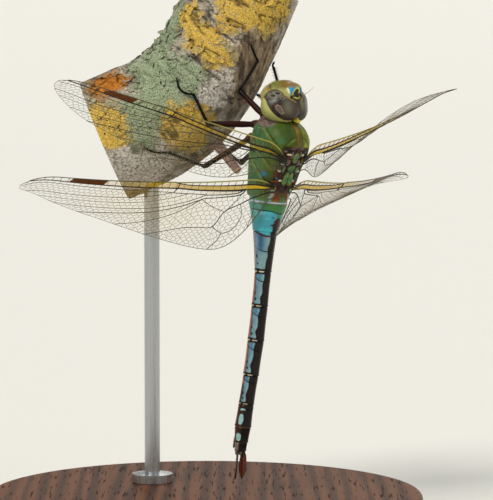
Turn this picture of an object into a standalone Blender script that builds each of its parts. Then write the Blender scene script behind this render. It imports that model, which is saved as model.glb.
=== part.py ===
"""A female green darner dragonfly at life size, hanging from a cut length of branch on a display stand.

Sizes are in millimetres and become metres in one place, to_object(). The stand's underside is centred
on the origin, +Z is up, and the viewer stands at -Y, looking at the insect's back and left side.

The insect's parts are drawn in frames of their own: a runs forward to the head, l to the insect's left
and d to its back. body_frame() turns such a frame into the model's.
"""

import math

import bmesh
import bpy
from mathutils import Matrix, Vector
from mathutils.bvhtree import BVHTree

MM = 0.001
GAP = 0.1  # the thin cut that parts two neighbouring pieces
SMOOTH_ANGLE = math.radians(38)

# Stand
BASE_RADIUS = 42.0
BASE_HEIGHT = 8.0
BASE_BEVEL = 1.2
ROD_PLACE = (-10.5, 12.5)
ROD_RADIUS = 1.5
ROD_TOP = 69.0
FLANGE_RADIUS = 4.0
FLANGE_HEIGHT = 1.6
FLANGE_CHAMFER = 0.4
ROD_SIDES = 24

# Branch: points of its middle line, its radius there, and knots as (part of length, angle, height)
BRANCH_LINE = (
    (9.0, 13.0, 106.5), (3.8, 13.0, 95.5), (-2.3, 13.0, 85.8), (-10.2, 13.0, 79.1), (-19.6, 13.0, 75.0),
)
BRANCH_RADII = (10.2, 10.7, 11.4, 12.0, 12.4)
BRANCH_SIDES = 24
BRANCH_RINGS = 15
BRANCH_KNOTS = ((0.2, 200.0, 0.7), (0.45, 80.0, 0.5), (0.6, 300.0, 0.8), (0.8, 150.0, 0.7))
KNOT_SPREAD = 0.12
TWIG_ROOT = (2.4, 7.5, 74.6)
TWIG_TIP = (6.5, 4.2, 69.4)
TWIG_RADIUS = 0.95
TWIG_SHAPE = ((0.0, 1.3), (0.6, 1.0), (0.93, 0.9), (1.0, 0.5))  # part of its length, share of its radius

# Frames of the body: place, lean to the viewer, lean to the right, turn about its length
THORAX = ((13.65, -3.7, 70.2), 5.4, 9.0, 42.0)
HEAD = ((15.0, -4.9, 83.5), 8.0, -5.0, 48.0)
ABDOMEN = ((12.25, -3.1, 65.3), 0.0, 0.0, 42.0)

# Head. The two eyes share one ellipsoid, pinched along the seam where they meet
EYE_CENTRE = (-0.9, 0.0, 0.0)
EYE_RADII = (3.3, 5.0, 4.05)
EYE_SEAM_DEPTH = 0.07
EYE_SEAM_WIDTH = 0.9
EYE_POLE = 8.0  # degrees round the outer pole that are cut flat
EYE_RINGS = 9
EYE_SIDES = 24
# Face and mouth, from the crown down: height, front, back, half width
FACE_LEVELS = (
    (3.5, 1.7, 0.2, 0.6),
    (3.1, 2.7, -1.0, 1.8),
    (2.3, 3.45, -2.2, 2.6),
    (1.1, 3.9, -3.2, 2.9),
    (-0.4, 3.9, -3.7, 3.0),
    (-2.0, 3.65, -3.5, 2.9),
    (-3.2, 3.2, -2.7, 2.6),
)
MOUTH_LEVELS = ((-3.2, 3.2, -2.7, 2.6), (-4.3, 2.5, -1.5, 2.0), (-4.9, 1.5, -0.5, 1.0))
FACE_POWER = 2.4
FACE_SIDES = 20
ANTENNA_ROOT = (0.7, 1.1, 3.2)
ANTENNA_TIP = (2.3, 3.1, 5.4)
ANTENNA_RADIUS = 0.26

# Thorax and neck, from the front back: place along a, half width, top, bottom
NECK_STATIONS = ((12.3, 1.2, 0.9, -1.5), (11.4, 1.9, 1.3, -3.0), (10.1, 2.5, 1.4, -4.2))
THORAX_STATIONS = (
    (10.0, 2.6, 1.6, -4.3),
    (9.2, 3.7, 3.2, -4.9),
    (8.2, 4.5, 4.4, -5.3),
    (6.6, 5.0, 5.2, -5.6),
    (4.6, 5.1, 5.3, -5.7),
    (2.6, 4.95, 4.8, -5.6),
    (0.6, 4.75, 4.1, -5.4),
    (-1.6, 4.5, 3.6, -5.1),
    (-3.4, 4.2, 3.1, -4.9),
)
THORAX_END = (3.85, 3.8, -3.85)  # half width, top and bottom where the abdomen begins
THORAX_POWER = 2.4
THORAX_SIDES = 24

# Abdomen: length, half width in front and behind, lean to the right
SEGMENTS = (
    (1.5, 3.65, 3.75, 6.0),
    (5.3, 3.7, 2.4, 6.0),
    (7.9, 2.35, 1.62, 3.0),
    (6.55, 1.62, 1.6, 5.5),
    (6.65, 1.6, 1.64, 6.5),
    (6.7, 1.62, 1.55, 8.0),
    (5.6, 1.5, 1.5, 9.0),
    (4.4, 1.5, 1.64, 8.5),
    (3.0, 1.6, 1.35, 6.5),
    (1.65, 1.3, 1.15, 5.0),
)
SEGMENT_WAIST = 0.05  # how far a segment narrows between its rims
ABDOMEN_SIDES = 16
SEGMENT_RINGS = (0.0, 0.15, 0.5, 0.85, 1.0)

# End leaves, drawn back from a hinge in the last segment, and the egg layer under it
CERCUS_HINGE = (0.3, 0.75, 0.15)
CERCUS_LENGTH = 5.8
CERCUS_WIDTH = 1.45
CERCUS_THICK = 0.5
CERCUS_SPLAY = 1.0
CERCUS_TILT = 48.0
CERCUS_RINGS = (0.0, 0.12, 0.3, 0.55, 0.75, 0.9, 1.0)
OVIPOSITOR_ROOT = (3.6, 0.0, -1.0)
OVIPOSITOR_TIP = (0.2, 0.0, -2.1)
OVIPOSITOR_RADIUS = 0.5

# Wings: the blade, then how each of the four is held
WING_THICK = 0.5
TIP_DROP = 2.1  # how far the front edge curves back at the tip
WING_STATIONS = 20
WING_EDGE = (0.07, 0.35, 0.65, 0.95)  # at these parts of the chord the blade has its full thickness
WING_ROOT_INSIDE = 1.6  # the hinge starts this deep in the thorax, and is cut off at its wall
BLADES = {
    "fore": {"length": 51.8, "chord": 11.6, "hinge": (3.6, 2.9, 4.7), "notch": 1.8},
    "hind": {"length": 50.7, "chord": 15.0, "hinge": (-2.2, 3.4, 2.9), "notch": 1.2},
}
# Sweep forward, droop, bend down at the tip (mm), pitch at root and tip, power of the twist along the wing
WING_POSES = {
    ("fore", "left"): (11.5, 10.0, -1.0, 10.0, 66.0, 0.85),
    ("fore", "right"): (13.4, 7.5, 4.0, 21.0, 78.0, 1.2),
    ("hind", "left"): (-4.6, 10.5, 4.0, 14.0, 92.0, 2.2),
    ("hind", "right"): (-2.2, 18.0, 1.8, 18.0, 58.0, 0.9),
}

# Legs: hip in the thorax frame, then knee, ankle and toe in the model's own. The last two lie on the bark,
# "near" the viewer or on the "far" side
HIPS = {"fore": (9.4, 1.0, -4.4), "mid": (7.7, 1.8, -5.5), "hind": (5.1, 2.2, -5.9)}
LEGS = {
    ("fore", "left"): ((6.7, 2.4, 85.1), (9.8, 91.1), (8.7, 93.9), "near"),
    ("mid", "left"): ((0.6, -1.4, 78.9), (-2.2, 84.5), (-5.3, 86.9), "near"),
    ("hind", "left"): ((0.0, -1.4, 70.8), (-7.1, 73.6), (-11.4, 74.2), "near"),
    ("fore", "right"): ((14.6, 6.8, 84.5), (13.6, 89.2), (13.0, 90.4), "far"),
    ("mid", "right"): ((12.2, 8.8, 83.0), (9.6, 84.2), (8.8, 84.6), "far"),
    ("hind", "right"): ((6.9, 8.8, 70.9), (2.2, 74.5), (1.2, 75.0), "far"),
}
HIP_DEPTH = 2.0  # how far a femur starts inside the thorax, where it is cut off at the wall
HIP_RADIUS = 0.9
FEMUR_RADIUS = 0.56
TIBIA_RADIUS = 0.34
TARSUS_RADIUS = 0.27
ANKLE_CLEARANCE = 0.4  # from the bark
TOE_CLEARANCE = 0.15
FOOT_PARTS = (0.35, 0.7, 1.0)  # where the foot follows the bark from ankle to toe
BARK_OUTSIDE = 100.0  # a foot's place on the bark is sought from this far in front or behind
BARK_AIM = 12.0  # depth of the point whose nearest bark holds a foot that passes beside the branch
LEG_SIDES = 8

# Colours: base colour, roughness, metallic
FINISHES = {
    "turned_walnut": ((0.16, 0.085, 0.045), 0.45, 0.0),
    "steel_rod": ((0.62, 0.62, 0.62), 0.3, 1.0),
    "bark": ((0.32, 0.27, 0.22), 0.9, 0.0),
    "cut_twig": ((0.38, 0.26, 0.21), 0.85, 0.0),
    "face_olive": ((0.34, 0.33, 0.08), 0.4, 0.0),
    "eye_brown": ((0.14, 0.11, 0.09), 0.15, 0.0),
    "thorax_green": ((0.12, 0.27, 0.09), 0.45, 0.0),
    "neck_mauve": ((0.42, 0.32, 0.31), 0.6, 0.0),
    "abdomen_green": ((0.11, 0.26, 0.15), 0.4, 0.0),
    "abdomen_blue": ((0.22, 0.4, 0.47), 0.4, 0.0),
    "abdomen_dark": ((0.09, 0.06, 0.05), 0.4, 0.0),
    "cercus_brown": ((0.13, 0.04, 0.02), 0.4, 0.0),
    "leg_maroon": ((0.06, 0.02, 0.018), 0.4, 0.0),
    "leg_black": ((0.015, 0.013, 0.013), 0.4, 0.0),
    "wing_membrane": ((0.62, 0.56, 0.36), 0.25, 0.0),
}


def main():
    """Build the model from the ground up; each later piece is cut back where it meets an earlier one."""
    for old in list(bpy.data.objects):
        bpy.data.objects.remove(old, do_unlink=True)
    build_stand()
    branch = build_perch()
    thorax, neck = build_thorax()
    head_pieces = build_head([thorax, neck])
    first_segments = build_abdomen()
    build_wings([thorax] + first_segments)
    build_legs([thorax, neck] + head_pieces, branch)


# Shared helpers


def finish(name):
    """The material of that name, made the first time it is asked for."""
    material = bpy.data.materials.get(name)
    if material is None:
        colour, roughness, metallic = FINISHES[name]
        material = bpy.data.materials.new(name)
        material.use_nodes = True
        shader = material.node_tree.nodes["Principled BSDF"]
        shader.inputs["Base Color"].default_value = (*colour, 1.0)
        shader.inputs["Roughness"].default_value = roughness
        shader.inputs["Metallic"].default_value = metallic
        material.diffuse_color = (*colour, 1.0)
    return material


def to_object(name, mesh_builder, material):
    """Put a bmesh drawn in millimetres into the scene in metres, facing outwards."""
    bmesh.ops.scale(mesh_builder, vec=(MM, MM, MM), verts=mesh_builder.verts)
    bmesh.ops.recalc_face_normals(mesh_builder, faces=mesh_builder.faces)
    mesh = bpy.data.meshes.new(name)
    mesh_builder.to_mesh(mesh)
    mesh_builder.free()
    mesh.materials.append(finish(material))
    mesh.shade_smooth()
    mesh.set_sharp_from_angle(angle=SMOOTH_ANGLE)
    piece = bpy.data.objects.new(name, mesh)
    bpy.context.collection.objects.link(piece)
    return piece


def loft(name, rings, material):
    """Join rings of equally many points into one closed skin with flat ends."""
    builder = bmesh.new()
    rows = [[builder.verts.new(point) for point in ring] for ring in rings]
    count = len(rows[0])
    for near, far in zip(rows, rows[1:]):
        for i in range(count):
            j = (i + 1) % count
            builder.faces.new((near[i], near[j], far[j], far[i]))
    builder.faces.new(rows[0])
    builder.faces.new(rows[-1])
    return to_object(name, builder, material)


def section(half_width, top, bottom, power, count):
    """Points round a rounded box, as (across, up) pairs."""
    middle, half_height = (top + bottom) / 2, (top - bottom) / 2
    points = []
    for i in range(count):
        angle = 2 * math.pi * (i + 0.5) / count
        across, up = math.cos(angle), math.sin(angle)
        points.append((
            half_width * math.copysign(abs(across) ** (2 / power), across),
            middle + half_height * math.copysign(abs(up) ** (2 / power), up),
        ))
    return points


def body_frame(frame):
    """Matrix from (a, l, d) to the model's axes."""
    place, to_viewer, to_right, turn = frame
    turn = math.radians(turn)
    axes = Matrix((
        (0, -math.cos(turn), math.sin(turn)),
        (0, -math.sin(turn), -math.cos(turn)),
        (1, 0, 0),
    ))
    lean = Matrix.Rotation(math.radians(to_right), 3, "Y") @ Matrix.Rotation(math.radians(to_viewer), 3, "X")
    return Matrix.Translation(place) @ (lean @ axes).to_4x4()


def station_rings(stations, frame, power, count):
    """Rings of a body piece from stations along a: (a, half width, top, bottom)."""
    matrix = body_frame(frame)
    return [
        [matrix @ Vector((a, l, d)) for l, d in section(half_width, top, bottom, power, count)]
        for a, half_width, top, bottom in stations
    ]


def tube(name, points, radii, count, material, cut_start=0.0, cut_end=0.0):
    """A round tube along points, mitred at its bends, with its ends drawn in by the two cuts."""
    points = [Vector(point) for point in points]
    steps = [(after - before).normalized() for before, after in zip(points, points[1:])]
    headings = [steps[0]] + [(a + b).normalized() for a, b in zip(steps, steps[1:])] + [steps[-1]]
    points[0] += steps[0] * cut_start
    points[-1] -= steps[-1] * cut_end
    side = steps[0].orthogonal().normalized()
    rings = []
    for point, heading, radius in zip(points, headings, radii):
        side = (side - heading * side.dot(heading)).normalized()
        other = heading.cross(side)
        angles = [2 * math.pi * i / count for i in range(count)]
        rings.append([point + (side * math.cos(t) + other * math.sin(t)) * radius for t in angles])
    return loft(name, rings, material)


def carve(piece, neighbours):
    """Cut the piece back to a thin gap from each neighbour."""
    for neighbour in neighbours:
        builder = bmesh.new()
        builder.from_mesh(neighbour.data)
        builder.normal_update()
        for vertex in builder.verts:
            vertex.co += vertex.normal * GAP * MM
        cutter_mesh = bpy.data.meshes.new("cutter")
        builder.to_mesh(cutter_mesh)
        builder.free()
        cutter = bpy.data.objects.new("cutter", cutter_mesh)
        bpy.context.collection.objects.link(cutter)
        boolean = piece.modifiers.new("carve", "BOOLEAN")
        boolean.operation = "DIFFERENCE"
        boolean.solver = "EXACT"
        boolean.object = cutter
        evaluated = piece.evaluated_get(bpy.context.evaluated_depsgraph_get())
        carved = bpy.data.meshes.new_from_object(evaluated)
        piece.modifiers.remove(boolean)
        piece.data = carved
        bpy.data.objects.remove(cutter, do_unlink=True)
    keep_largest(piece.data)
    piece.data.shade_smooth()
    piece.data.set_sharp_from_angle(angle=SMOOTH_ANGLE)
    return piece


def keep_largest(mesh):
    """Drop the crumbs that a cut leaves beside the main body."""
    builder = bmesh.new()
    builder.from_mesh(mesh)
    bodies, seen = [], set()
    for start in builder.verts:
        if start in seen:
            continue
        body, waiting = [], [start]
        seen.add(start)
        while waiting:
            vertex = waiting.pop()
            body.append(vertex)
            for edge in vertex.link_edges:
                other = edge.other_vert(vertex)
                if other not in seen:
                    seen.add(other)
                    waiting.append(other)
        bodies.append(body)
    bodies.sort(key=len)
    for crumb in bodies[:-1]:
        bmesh.ops.delete(builder, geom=crumb, context="VERTS")
    builder.to_mesh(mesh)
    builder.free()


def smooth_line(points, part):
    """A point on the smooth curve through the points, at part 0 to 1 of the way."""
    spans = len(points) - 1
    at = min(part * spans, spans - 1e-9)
    i = int(at)
    t = at - i
    before, start, end, after = (Vector(points[min(max(k, 0), spans)]) for k in range(i - 1, i + 3))
    return 0.5 * (
        2 * start + (end - before) * t
        + (2 * before - 5 * start + 4 * end - after) * t ** 2
        + (3 * start - before - 3 * end + after) * t ** 3
    )


# Stand and perch


def build_stand():
    """A turned disc, flat below, and a steel rod on a flange."""
    builder = bmesh.new()
    bmesh.ops.create_cone(
        builder, cap_ends=True, segments=64, radius1=BASE_RADIUS, radius2=BASE_RADIUS, depth=BASE_HEIGHT,
        matrix=Matrix.Translation((0, 0, BASE_HEIGHT / 2)),
    )
    top_rim = [
        edge for edge in builder.edges
        if all(abs(vertex.co.z - BASE_HEIGHT) < 1e-4 for vertex in edge.verts)
    ]
    bmesh.ops.bevel(builder, geom=top_rim, offset=BASE_BEVEL, segments=3, profile=0.5, affect="EDGES")
    to_object("stand_base", builder, "turned_walnut")
    foot = BASE_HEIGHT + GAP
    shoulder = foot + FLANGE_HEIGHT
    profile = (
        (FLANGE_RADIUS, foot), (FLANGE_RADIUS, shoulder), (ROD_RADIUS, shoulder + FLANGE_CHAMFER),
        (ROD_RADIUS, ROD_TOP),
    )
    angles = [2 * math.pi * i / ROD_SIDES for i in range(ROD_SIDES)]
    rings = [
        [(ROD_PLACE[0] + radius * math.cos(t), ROD_PLACE[1] + radius * math.sin(t), z) for t in angles]
        for radius, z in profile
    ]
    loft("stand_rod", rings, "steel_rod")


def build_perch():
    """A cut length of branch, bored for the rod, and the stub of a side twig."""
    rings = []
    for k in range(BRANCH_RINGS):
        part = k / (BRANCH_RINGS - 1)
        centre = smooth_line(BRANCH_LINE, part)
        ahead = smooth_line(BRANCH_LINE, min(part + 0.01, 1)) - smooth_line(BRANCH_LINE, max(part - 0.01, 0))
        ahead.normalize()
        across = ahead.cross(Vector((0, 1, 0))).normalized()
        toward = across.cross(ahead)
        radius = smooth_line([(r, 0, 0) for r in BRANCH_RADII], part).x
        ring = []
        for i in range(BRANCH_SIDES):
            angle = 2 * math.pi * i / BRANCH_SIDES
            bump = sum(knot_height(part, angle, knot) for knot in BRANCH_KNOTS)
            ring.append(centre + (across * math.cos(angle) + toward * math.sin(angle)) * (radius + bump))
        rings.append(ring)
    branch = loft("perch_branch", rings, "bark")
    carve(branch, [bpy.data.objects["stand_rod"]])
    root, tip = Vector(TWIG_ROOT), Vector(TWIG_TIP)
    points = [root.lerp(tip, part) for part, _ in TWIG_SHAPE]
    stub = tube("perch_twig", points, [TWIG_RADIUS * share for _, share in TWIG_SHAPE], 10, "cut_twig")
    carve(stub, [branch])
    return branch


def knot_height(part, angle, knot):
    """Height of one swelling of the branch at a part of its length and an angle round it."""
    place, turn, height = knot
    round_it = math.cos(angle - math.radians(turn))
    return height * math.exp(-(((part - place) / KNOT_SPREAD) ** 2)) * max(round_it, 0) ** 2


# Body


def build_thorax():
    """The trunk, which ends on the abdomen's first plane, and the neck ahead of it."""
    rings = station_rings(THORAX_STATIONS, THORAX, THORAX_POWER, THORAX_SIDES)
    place, to_viewer, _, turn = ABDOMEN
    first_plane = (place, to_viewer, SEGMENTS[0][3], turn)
    rings += station_rings([(GAP / 2, *THORAX_END)], first_plane, 2.0, THORAX_SIDES)
    thorax = loft("thorax", rings, "thorax_green")
    neck = loft("neck", station_rings(NECK_STATIONS, THORAX, 2.0, 16), "neck_mauve")
    return thorax, neck


def build_head(behind):
    """Face, mouth, two eyes and two feelers; behind is what the head sits against."""
    matrix = body_frame(HEAD)
    pieces = []
    for name, levels in (("head", FACE_LEVELS), ("mouth", MOUTH_LEVELS)):
        rings = []
        for height, front, back, half_width in levels:
            drop = GAP if name == "mouth" and height == levels[0][0] else 0.0
            outline = section(half_width, front, back, FACE_POWER, FACE_SIDES)
            rings.append([matrix @ Vector((a, l, height - drop)) for l, a in outline])
        pieces.append(carve(loft(name, rings, "face_olive"), behind))
    for side, name in ((1, "left"), (-1, "right")):
        eye = carve(build_eye("eye_" + name, side, matrix), pieces + behind)
        root, tip = (matrix @ Vector((a, side * l, d)) for a, l, d in (ANTENNA_ROOT, ANTENNA_TIP))
        feeler = tube("antenna_" + name, [root, tip], [ANTENNA_RADIUS] * 2, 8, "leg_black")
        carve(feeler, [pieces[0], eye])
    return pieces


def build_eye(name, side, matrix):
    """Half of the eyes' ellipsoid, from its outer pole to the seam."""
    centre = Vector(EYE_CENTRE)
    ahead_radius, side_radius, up_radius = EYE_RADII
    rings = []
    for k in range(EYE_RINGS):
        polar = math.radians(EYE_POLE + (90 - EYE_POLE) * k / (EYE_RINGS - 1))
        left = max(side_radius * math.cos(polar), GAP / 2)
        pinch = 1 - EYE_SEAM_DEPTH * math.exp(-((left / EYE_SEAM_WIDTH) ** 2))
        ring = []
        for i in range(EYE_SIDES):
            angle = 2 * math.pi * i / EYE_SIDES
            ahead = ahead_radius * math.sin(polar) * pinch * math.cos(angle)
            up = up_radius * math.sin(polar) * pinch * math.sin(angle)
            ring.append(matrix @ (centre + Vector((ahead, side * left, up))))
        rings.append(ring)
    return loft(name, rings, "eye_brown")


def build_abdomen():
    """Ten segments on one bent middle line, then the two end leaves and the egg layer."""
    place, _, _, turn = ABDOMEN
    leans = [lean for _, _, _, lean in SEGMENTS]
    joint = Vector(place)
    frames = []
    for k, (length, _, _, lean) in enumerate(SEGMENTS):
        rim_lean = lean if k == 0 else (lean + leans[k - 1]) / 2
        frames.append(body_frame((joint, 0.0, rim_lean, turn)))
        joint = joint - Vector((math.sin(math.radians(lean)), 0, math.cos(math.radians(lean)))) * length
    frames.append(body_frame((joint, 0.0, leans[-1], turn)))
    for k, (length, front, back, _) in enumerate(SEGMENTS):
        rings = []
        for part in SEGMENT_RINGS:
            half_width = front + (back - front) * part - SEGMENT_WAIST * math.sin(math.pi * part)
            inset = {0.0: GAP / 2, 1.0: -GAP / 2}.get(part, 0.0)
            shape = section(half_width, half_width, -half_width, 2.0, ABDOMEN_SIDES)
            start, end = frames[k], frames[k + 1]
            rings.append([
                (start @ Vector((-inset, l, d))).lerp(end @ Vector((-inset, l, d)), part) for l, d in shape
            ])
        colour = "abdomen_green" if k < 2 else "abdomen_dark" if k > 6 else "abdomen_blue"
        loft(f"abdomen_{k + 1}", rings, colour)
    build_tail(frames[-1], bpy.data.objects["abdomen_9"], bpy.data.objects["abdomen_10"])
    return [bpy.data.objects["abdomen_1"], bpy.data.objects["abdomen_2"]]


def build_tail(matrix, ninth, tenth):
    """Leaf-shaped cerci that close like an open book, and the egg layer under the ninth segment."""
    for side, name in ((1, "left"), (-1, "right")):
        ahead, apart, up = CERCUS_HINGE
        hinge = matrix @ Matrix.Translation((ahead, side * apart, up))
        hinge = hinge @ Matrix.Rotation(math.radians(-side * CERCUS_SPLAY), 4, "Z")
        hinge = hinge @ Matrix.Rotation(math.radians(side * CERCUS_TILT), 4, "X")
        rings = []
        for part in CERCUS_RINGS:
            half_width = CERCUS_WIDTH / 2 * leaf_width(part)
            shape = section(half_width, CERCUS_THICK / 2, -CERCUS_THICK / 2, 2.5, 8)
            rings.append([hinge @ Vector((-part * CERCUS_LENGTH, l, d)) for l, d in shape])
        carve(loft("cercus_" + name, rings, "cercus_brown"), [tenth])
    root, tip = (matrix @ Vector(point) for point in (OVIPOSITOR_ROOT, OVIPOSITOR_TIP))
    stylus = tube("ovipositor", [root, root.lerp(tip, 0.5), tip],
                  [OVIPOSITOR_RADIUS, OVIPOSITOR_RADIUS, OVIPOSITOR_RADIUS * 0.55], 8, "abdomen_dark")
    carve(stylus, [ninth, tenth])


def leaf_width(part):
    """Width of a cercus along its length, 1 at its widest: a stalk, then a long oval with a blunt point."""
    return 0.42 + 0.58 * math.sin(math.pi * min(part / 1.15, 1.0)) ** 0.8 if part < 1 else 0.4


# Wings


def leading_edge(kind, part):
    """How far the front edge lies ahead of the wing's straight line: a notch at the root, a round tip."""
    root_notch = BLADES[kind]["notch"] * max(0.0, 1 - part / 0.09) ** 2
    return -root_notch - TIP_DROP * max(0.0, (part - 0.84) / 0.16) ** 2.4


def chord(kind, part):
    """The blade's width along its length."""
    tip = (1 - min(max((part - 0.62) / 0.38, 0.0), 1.0) ** 2.6) ** 0.62
    if kind == "fore":
        root = 0.24 + 0.76 * (1 - (1 - min(part / 0.34, 1.0)) ** 2.2)
        return BLADES[kind]["chord"] * root * tip
    root = 0.2 + 0.8 * (1 - (1 - min(part / 0.2, 1.0)) ** 2.4)
    taper = 1 - 0.42 * max(0.0, (part - 0.22) / 0.78) ** 1.3
    return BLADES[kind]["chord"] * root * taper * tip


def wing_point(kind, side_name, part, back, lift):
    """A point of the wing in the thorax frame: part along it, back 0 to 1 across it, lift off its face."""
    sweep, droop, bend, pitch_root, pitch_tip, power = WING_POSES[kind, side_name]
    sweep, droop = math.radians(sweep), math.radians(droop)
    side = 1 if side_name == "left" else -1
    blade = BLADES[kind]
    along = Vector((math.sin(sweep), side * math.cos(sweep) * math.cos(droop),
                    -math.cos(sweep) * math.sin(droop)))
    ahead = Vector((math.cos(sweep), -side * math.sin(sweep) * math.cos(droop),
                    math.sin(sweep) * math.sin(droop)))
    up = Vector((0, side * math.sin(droop), math.cos(droop)))
    pitch = math.radians(pitch_root + (pitch_tip - pitch_root) * max(part, 0.0) ** power)
    down_wing = ahead * -math.cos(pitch) - up * math.sin(pitch)
    off_wing = up * math.cos(pitch) - ahead * math.sin(pitch)
    hinge = Vector(blade["hinge"])
    hinge.y *= side
    front = leading_edge(kind, max(part, 0.0)) + blade["notch"]
    width = max(chord(kind, max(part, 0.0)), WING_THICK)
    return (
        hinge + along * part * blade["length"] + ahead * front - up * bend * max(part, 0.0) ** 2
        + down_wing * back * width + off_wing * lift
    )


def build_wings(beside):
    """Four blades of even thickness, each cut off at the body's wall."""
    matrix = body_frame(THORAX)
    upper = [(back, WING_THICK / 2) for back in WING_EDGE]
    lower = [(back, -WING_THICK / 2) for back in reversed(WING_EDGE)]
    loop = [(0.0, 0.0)] + upper + [(1.0, 0.0)] + lower
    for kind in BLADES:
        for side_name in ("left", "right"):
            inside = -WING_ROOT_INSIDE / BLADES[kind]["length"]
            parts = [inside] + [(k / WING_STATIONS) ** 1.15 for k in range(WING_STATIONS)] + [0.985, 0.998]
            rings = [
                [matrix @ wing_point(kind, side_name, part, back, lift) for back, lift in loop]
                for part in parts
            ]
            wing = loft(f"wing_{kind}_{side_name}", rings, "wing_membrane")
            carve(wing, beside)


# Legs


def bark_point(tree, x, z, facing, height):
    """The point that far off the bark, straight in from the near or the far side, or else off its rim."""
    inward = 1 if facing == "near" else -1
    start = Vector((x, -inward * BARK_OUTSIDE, z))
    hit, normal, _, _ = tree.ray_cast(start * MM, Vector((0, inward, 0)))
    if hit is None:
        hit, normal, _, _ = tree.find_nearest(Vector((x, BARK_AIM, z)) * MM)
    return hit / MM + normal * height


def build_legs(body, branch):
    """Six legs of three pieces each, mitred and parted at the knee and the ankle."""
    matrix = body_frame(THORAX)
    builder = bmesh.new()
    builder.from_mesh(branch.data)
    tree = BVHTree.FromBMesh(builder)
    for (pair, side_name), (knee, ankle_at, toe_at, facing) in LEGS.items():
        a, l, d = HIPS[pair]
        if side_name == "right":
            l = -l
        hip, hip_inside = (matrix @ Vector((a, l, d + deeper)) for deeper in (0.0, HIP_DEPTH))
        knee = Vector(knee)
        ankle = bark_point(tree, *ankle_at, facing, TIBIA_RADIUS + ANKLE_CLEARANCE)
        steps = [[start + (end - start) * part for start, end in zip(ankle_at, toe_at)] for part in FOOT_PARTS]
        foot = [bark_point(tree, *step, facing, TARSUS_RADIUS + TOE_CLEARANCE) for step in steps]
        name = f"leg_{pair}_{side_name}_"
        upper = tube(
            name + "femur", [hip_inside, hip, hip.lerp(knee, 0.25), hip.lerp(knee, 0.8), knee],
            [HIP_RADIUS, HIP_RADIUS, FEMUR_RADIUS * 1.15, FEMUR_RADIUS, FEMUR_RADIUS * 0.85],
            LEG_SIDES, "leg_maroon", cut_end=FEMUR_RADIUS,
        )
        carve(upper, body)
        tube(name + "tibia", [knee, knee.lerp(ankle, 0.5), ankle],
             [FEMUR_RADIUS * 0.8, TIBIA_RADIUS, TIBIA_RADIUS], LEG_SIDES, "leg_black", cut_end=GAP)
        lower = tube(name + "tarsus", [ankle] + foot, [TARSUS_RADIUS] * len(foot + [ankle]), LEG_SIDES,
                     "leg_black", cut_start=TIBIA_RADIUS)
        carve(lower, [branch])
    builder.free()


if __name__ == "__main__":
    main()
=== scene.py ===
import math

import bpy
import numpy as np
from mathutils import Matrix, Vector
from mathutils.bvhtree import BVHTree
from mathutils.geometry import delaunay_2d_cdt


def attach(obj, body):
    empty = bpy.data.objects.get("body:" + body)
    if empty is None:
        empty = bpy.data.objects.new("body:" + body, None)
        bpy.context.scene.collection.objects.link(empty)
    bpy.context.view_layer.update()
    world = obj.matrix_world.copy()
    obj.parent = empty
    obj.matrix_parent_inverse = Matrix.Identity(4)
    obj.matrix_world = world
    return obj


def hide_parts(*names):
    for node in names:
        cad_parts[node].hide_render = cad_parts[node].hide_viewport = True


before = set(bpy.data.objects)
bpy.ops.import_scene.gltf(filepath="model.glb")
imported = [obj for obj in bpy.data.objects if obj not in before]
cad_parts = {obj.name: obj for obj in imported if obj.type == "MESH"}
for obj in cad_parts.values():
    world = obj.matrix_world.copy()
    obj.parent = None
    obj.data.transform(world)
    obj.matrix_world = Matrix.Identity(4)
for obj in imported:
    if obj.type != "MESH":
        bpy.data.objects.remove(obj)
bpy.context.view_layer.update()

# A female green darner on a cut length of branch. Shapes are drawn in millimetres, in the solids' own
# frame: +Z up, the viewer at -Y. The insect's frames have a towards its head, l to its left, d to its back.

mm = 0.001
channels = ("red", "green", "blue")
hands = {"left": 1, "right": -1}

# small tools for arrays


def unit(vectors):
    # every vector divided by its own length
    return vectors / np.maximum(np.linalg.norm(vectors, axis=-1, keepdims=True), 1e-12)


def ease(low, high, x):
    # 0 below low, 1 above high, 3t^2 - 2t^3 between
    t = np.clip((x - low) / (high - low), 0, 1)
    return t * t * (3 - 2 * t)


def bell(x, middle, width):
    # exp(-((x - middle) / width)^2)
    return np.exp(-(((x - middle) / width) ** 2))


def circle(count):
    # angles from 0 to 2 pi, without the last
    return np.linspace(0, 2 * np.pi, count, endpoint=False)[None]


def stacked(*parts):
    # the coordinates as one array of points
    return np.stack(np.broadcast_arrays(*parts), -1)


def signed(x, power):
    # sign(x) |x|^power
    return np.sign(x) * np.abs(x) ** power


def smoothCurve(points, parts):
    # Catmull-Rom curve through the points, at parts 0 to 1 of the way
    points = np.asarray(points, float)
    spans = len(points) - 1
    at = np.minimum(np.asarray(parts) * spans, spans - 1e-9)
    i = at.astype(int)
    t = (at - i)[..., None]
    padded = np.concatenate([points[:1], points, points[-1:]])
    before, start, end, after = padded[i], padded[i + 1], padded[i + 2], padded[i + 3]
    return 0.5 * (2 * start + (end - before) * t + (2 * before - 5 * start + 4 * end - after) * t ** 2
                  + (3 * start - before - 3 * end + after) * t ** 3)


def grain(points, size, seed=0):
    # value noise 0 to 1: hashed corners of cells of that size, blended by 3t^2 - 2t^3 on each axis
    q = points / size
    cell = np.floor(q).astype(np.int64)
    t = q - cell
    t = t * t * (3 - 2 * t)
    total = 0
    for corner in np.ndindex(2, 2, 2):
        x, y, z = np.moveaxis(cell + corner, -1, 0)
        mixed = (x * 73856093) ^ (y * 19349663) ^ (z * 83492791) ^ (seed * 2654435)
        mixed = ((mixed ^ (mixed >> 13)) * 1274126177) & 0x7fffffff
        weight = np.prod(np.where(corner, t, 1 - t), axis=-1)
        total = total + weight * (((mixed >> 7) & 0xffff) / 65535)
    return total


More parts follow.
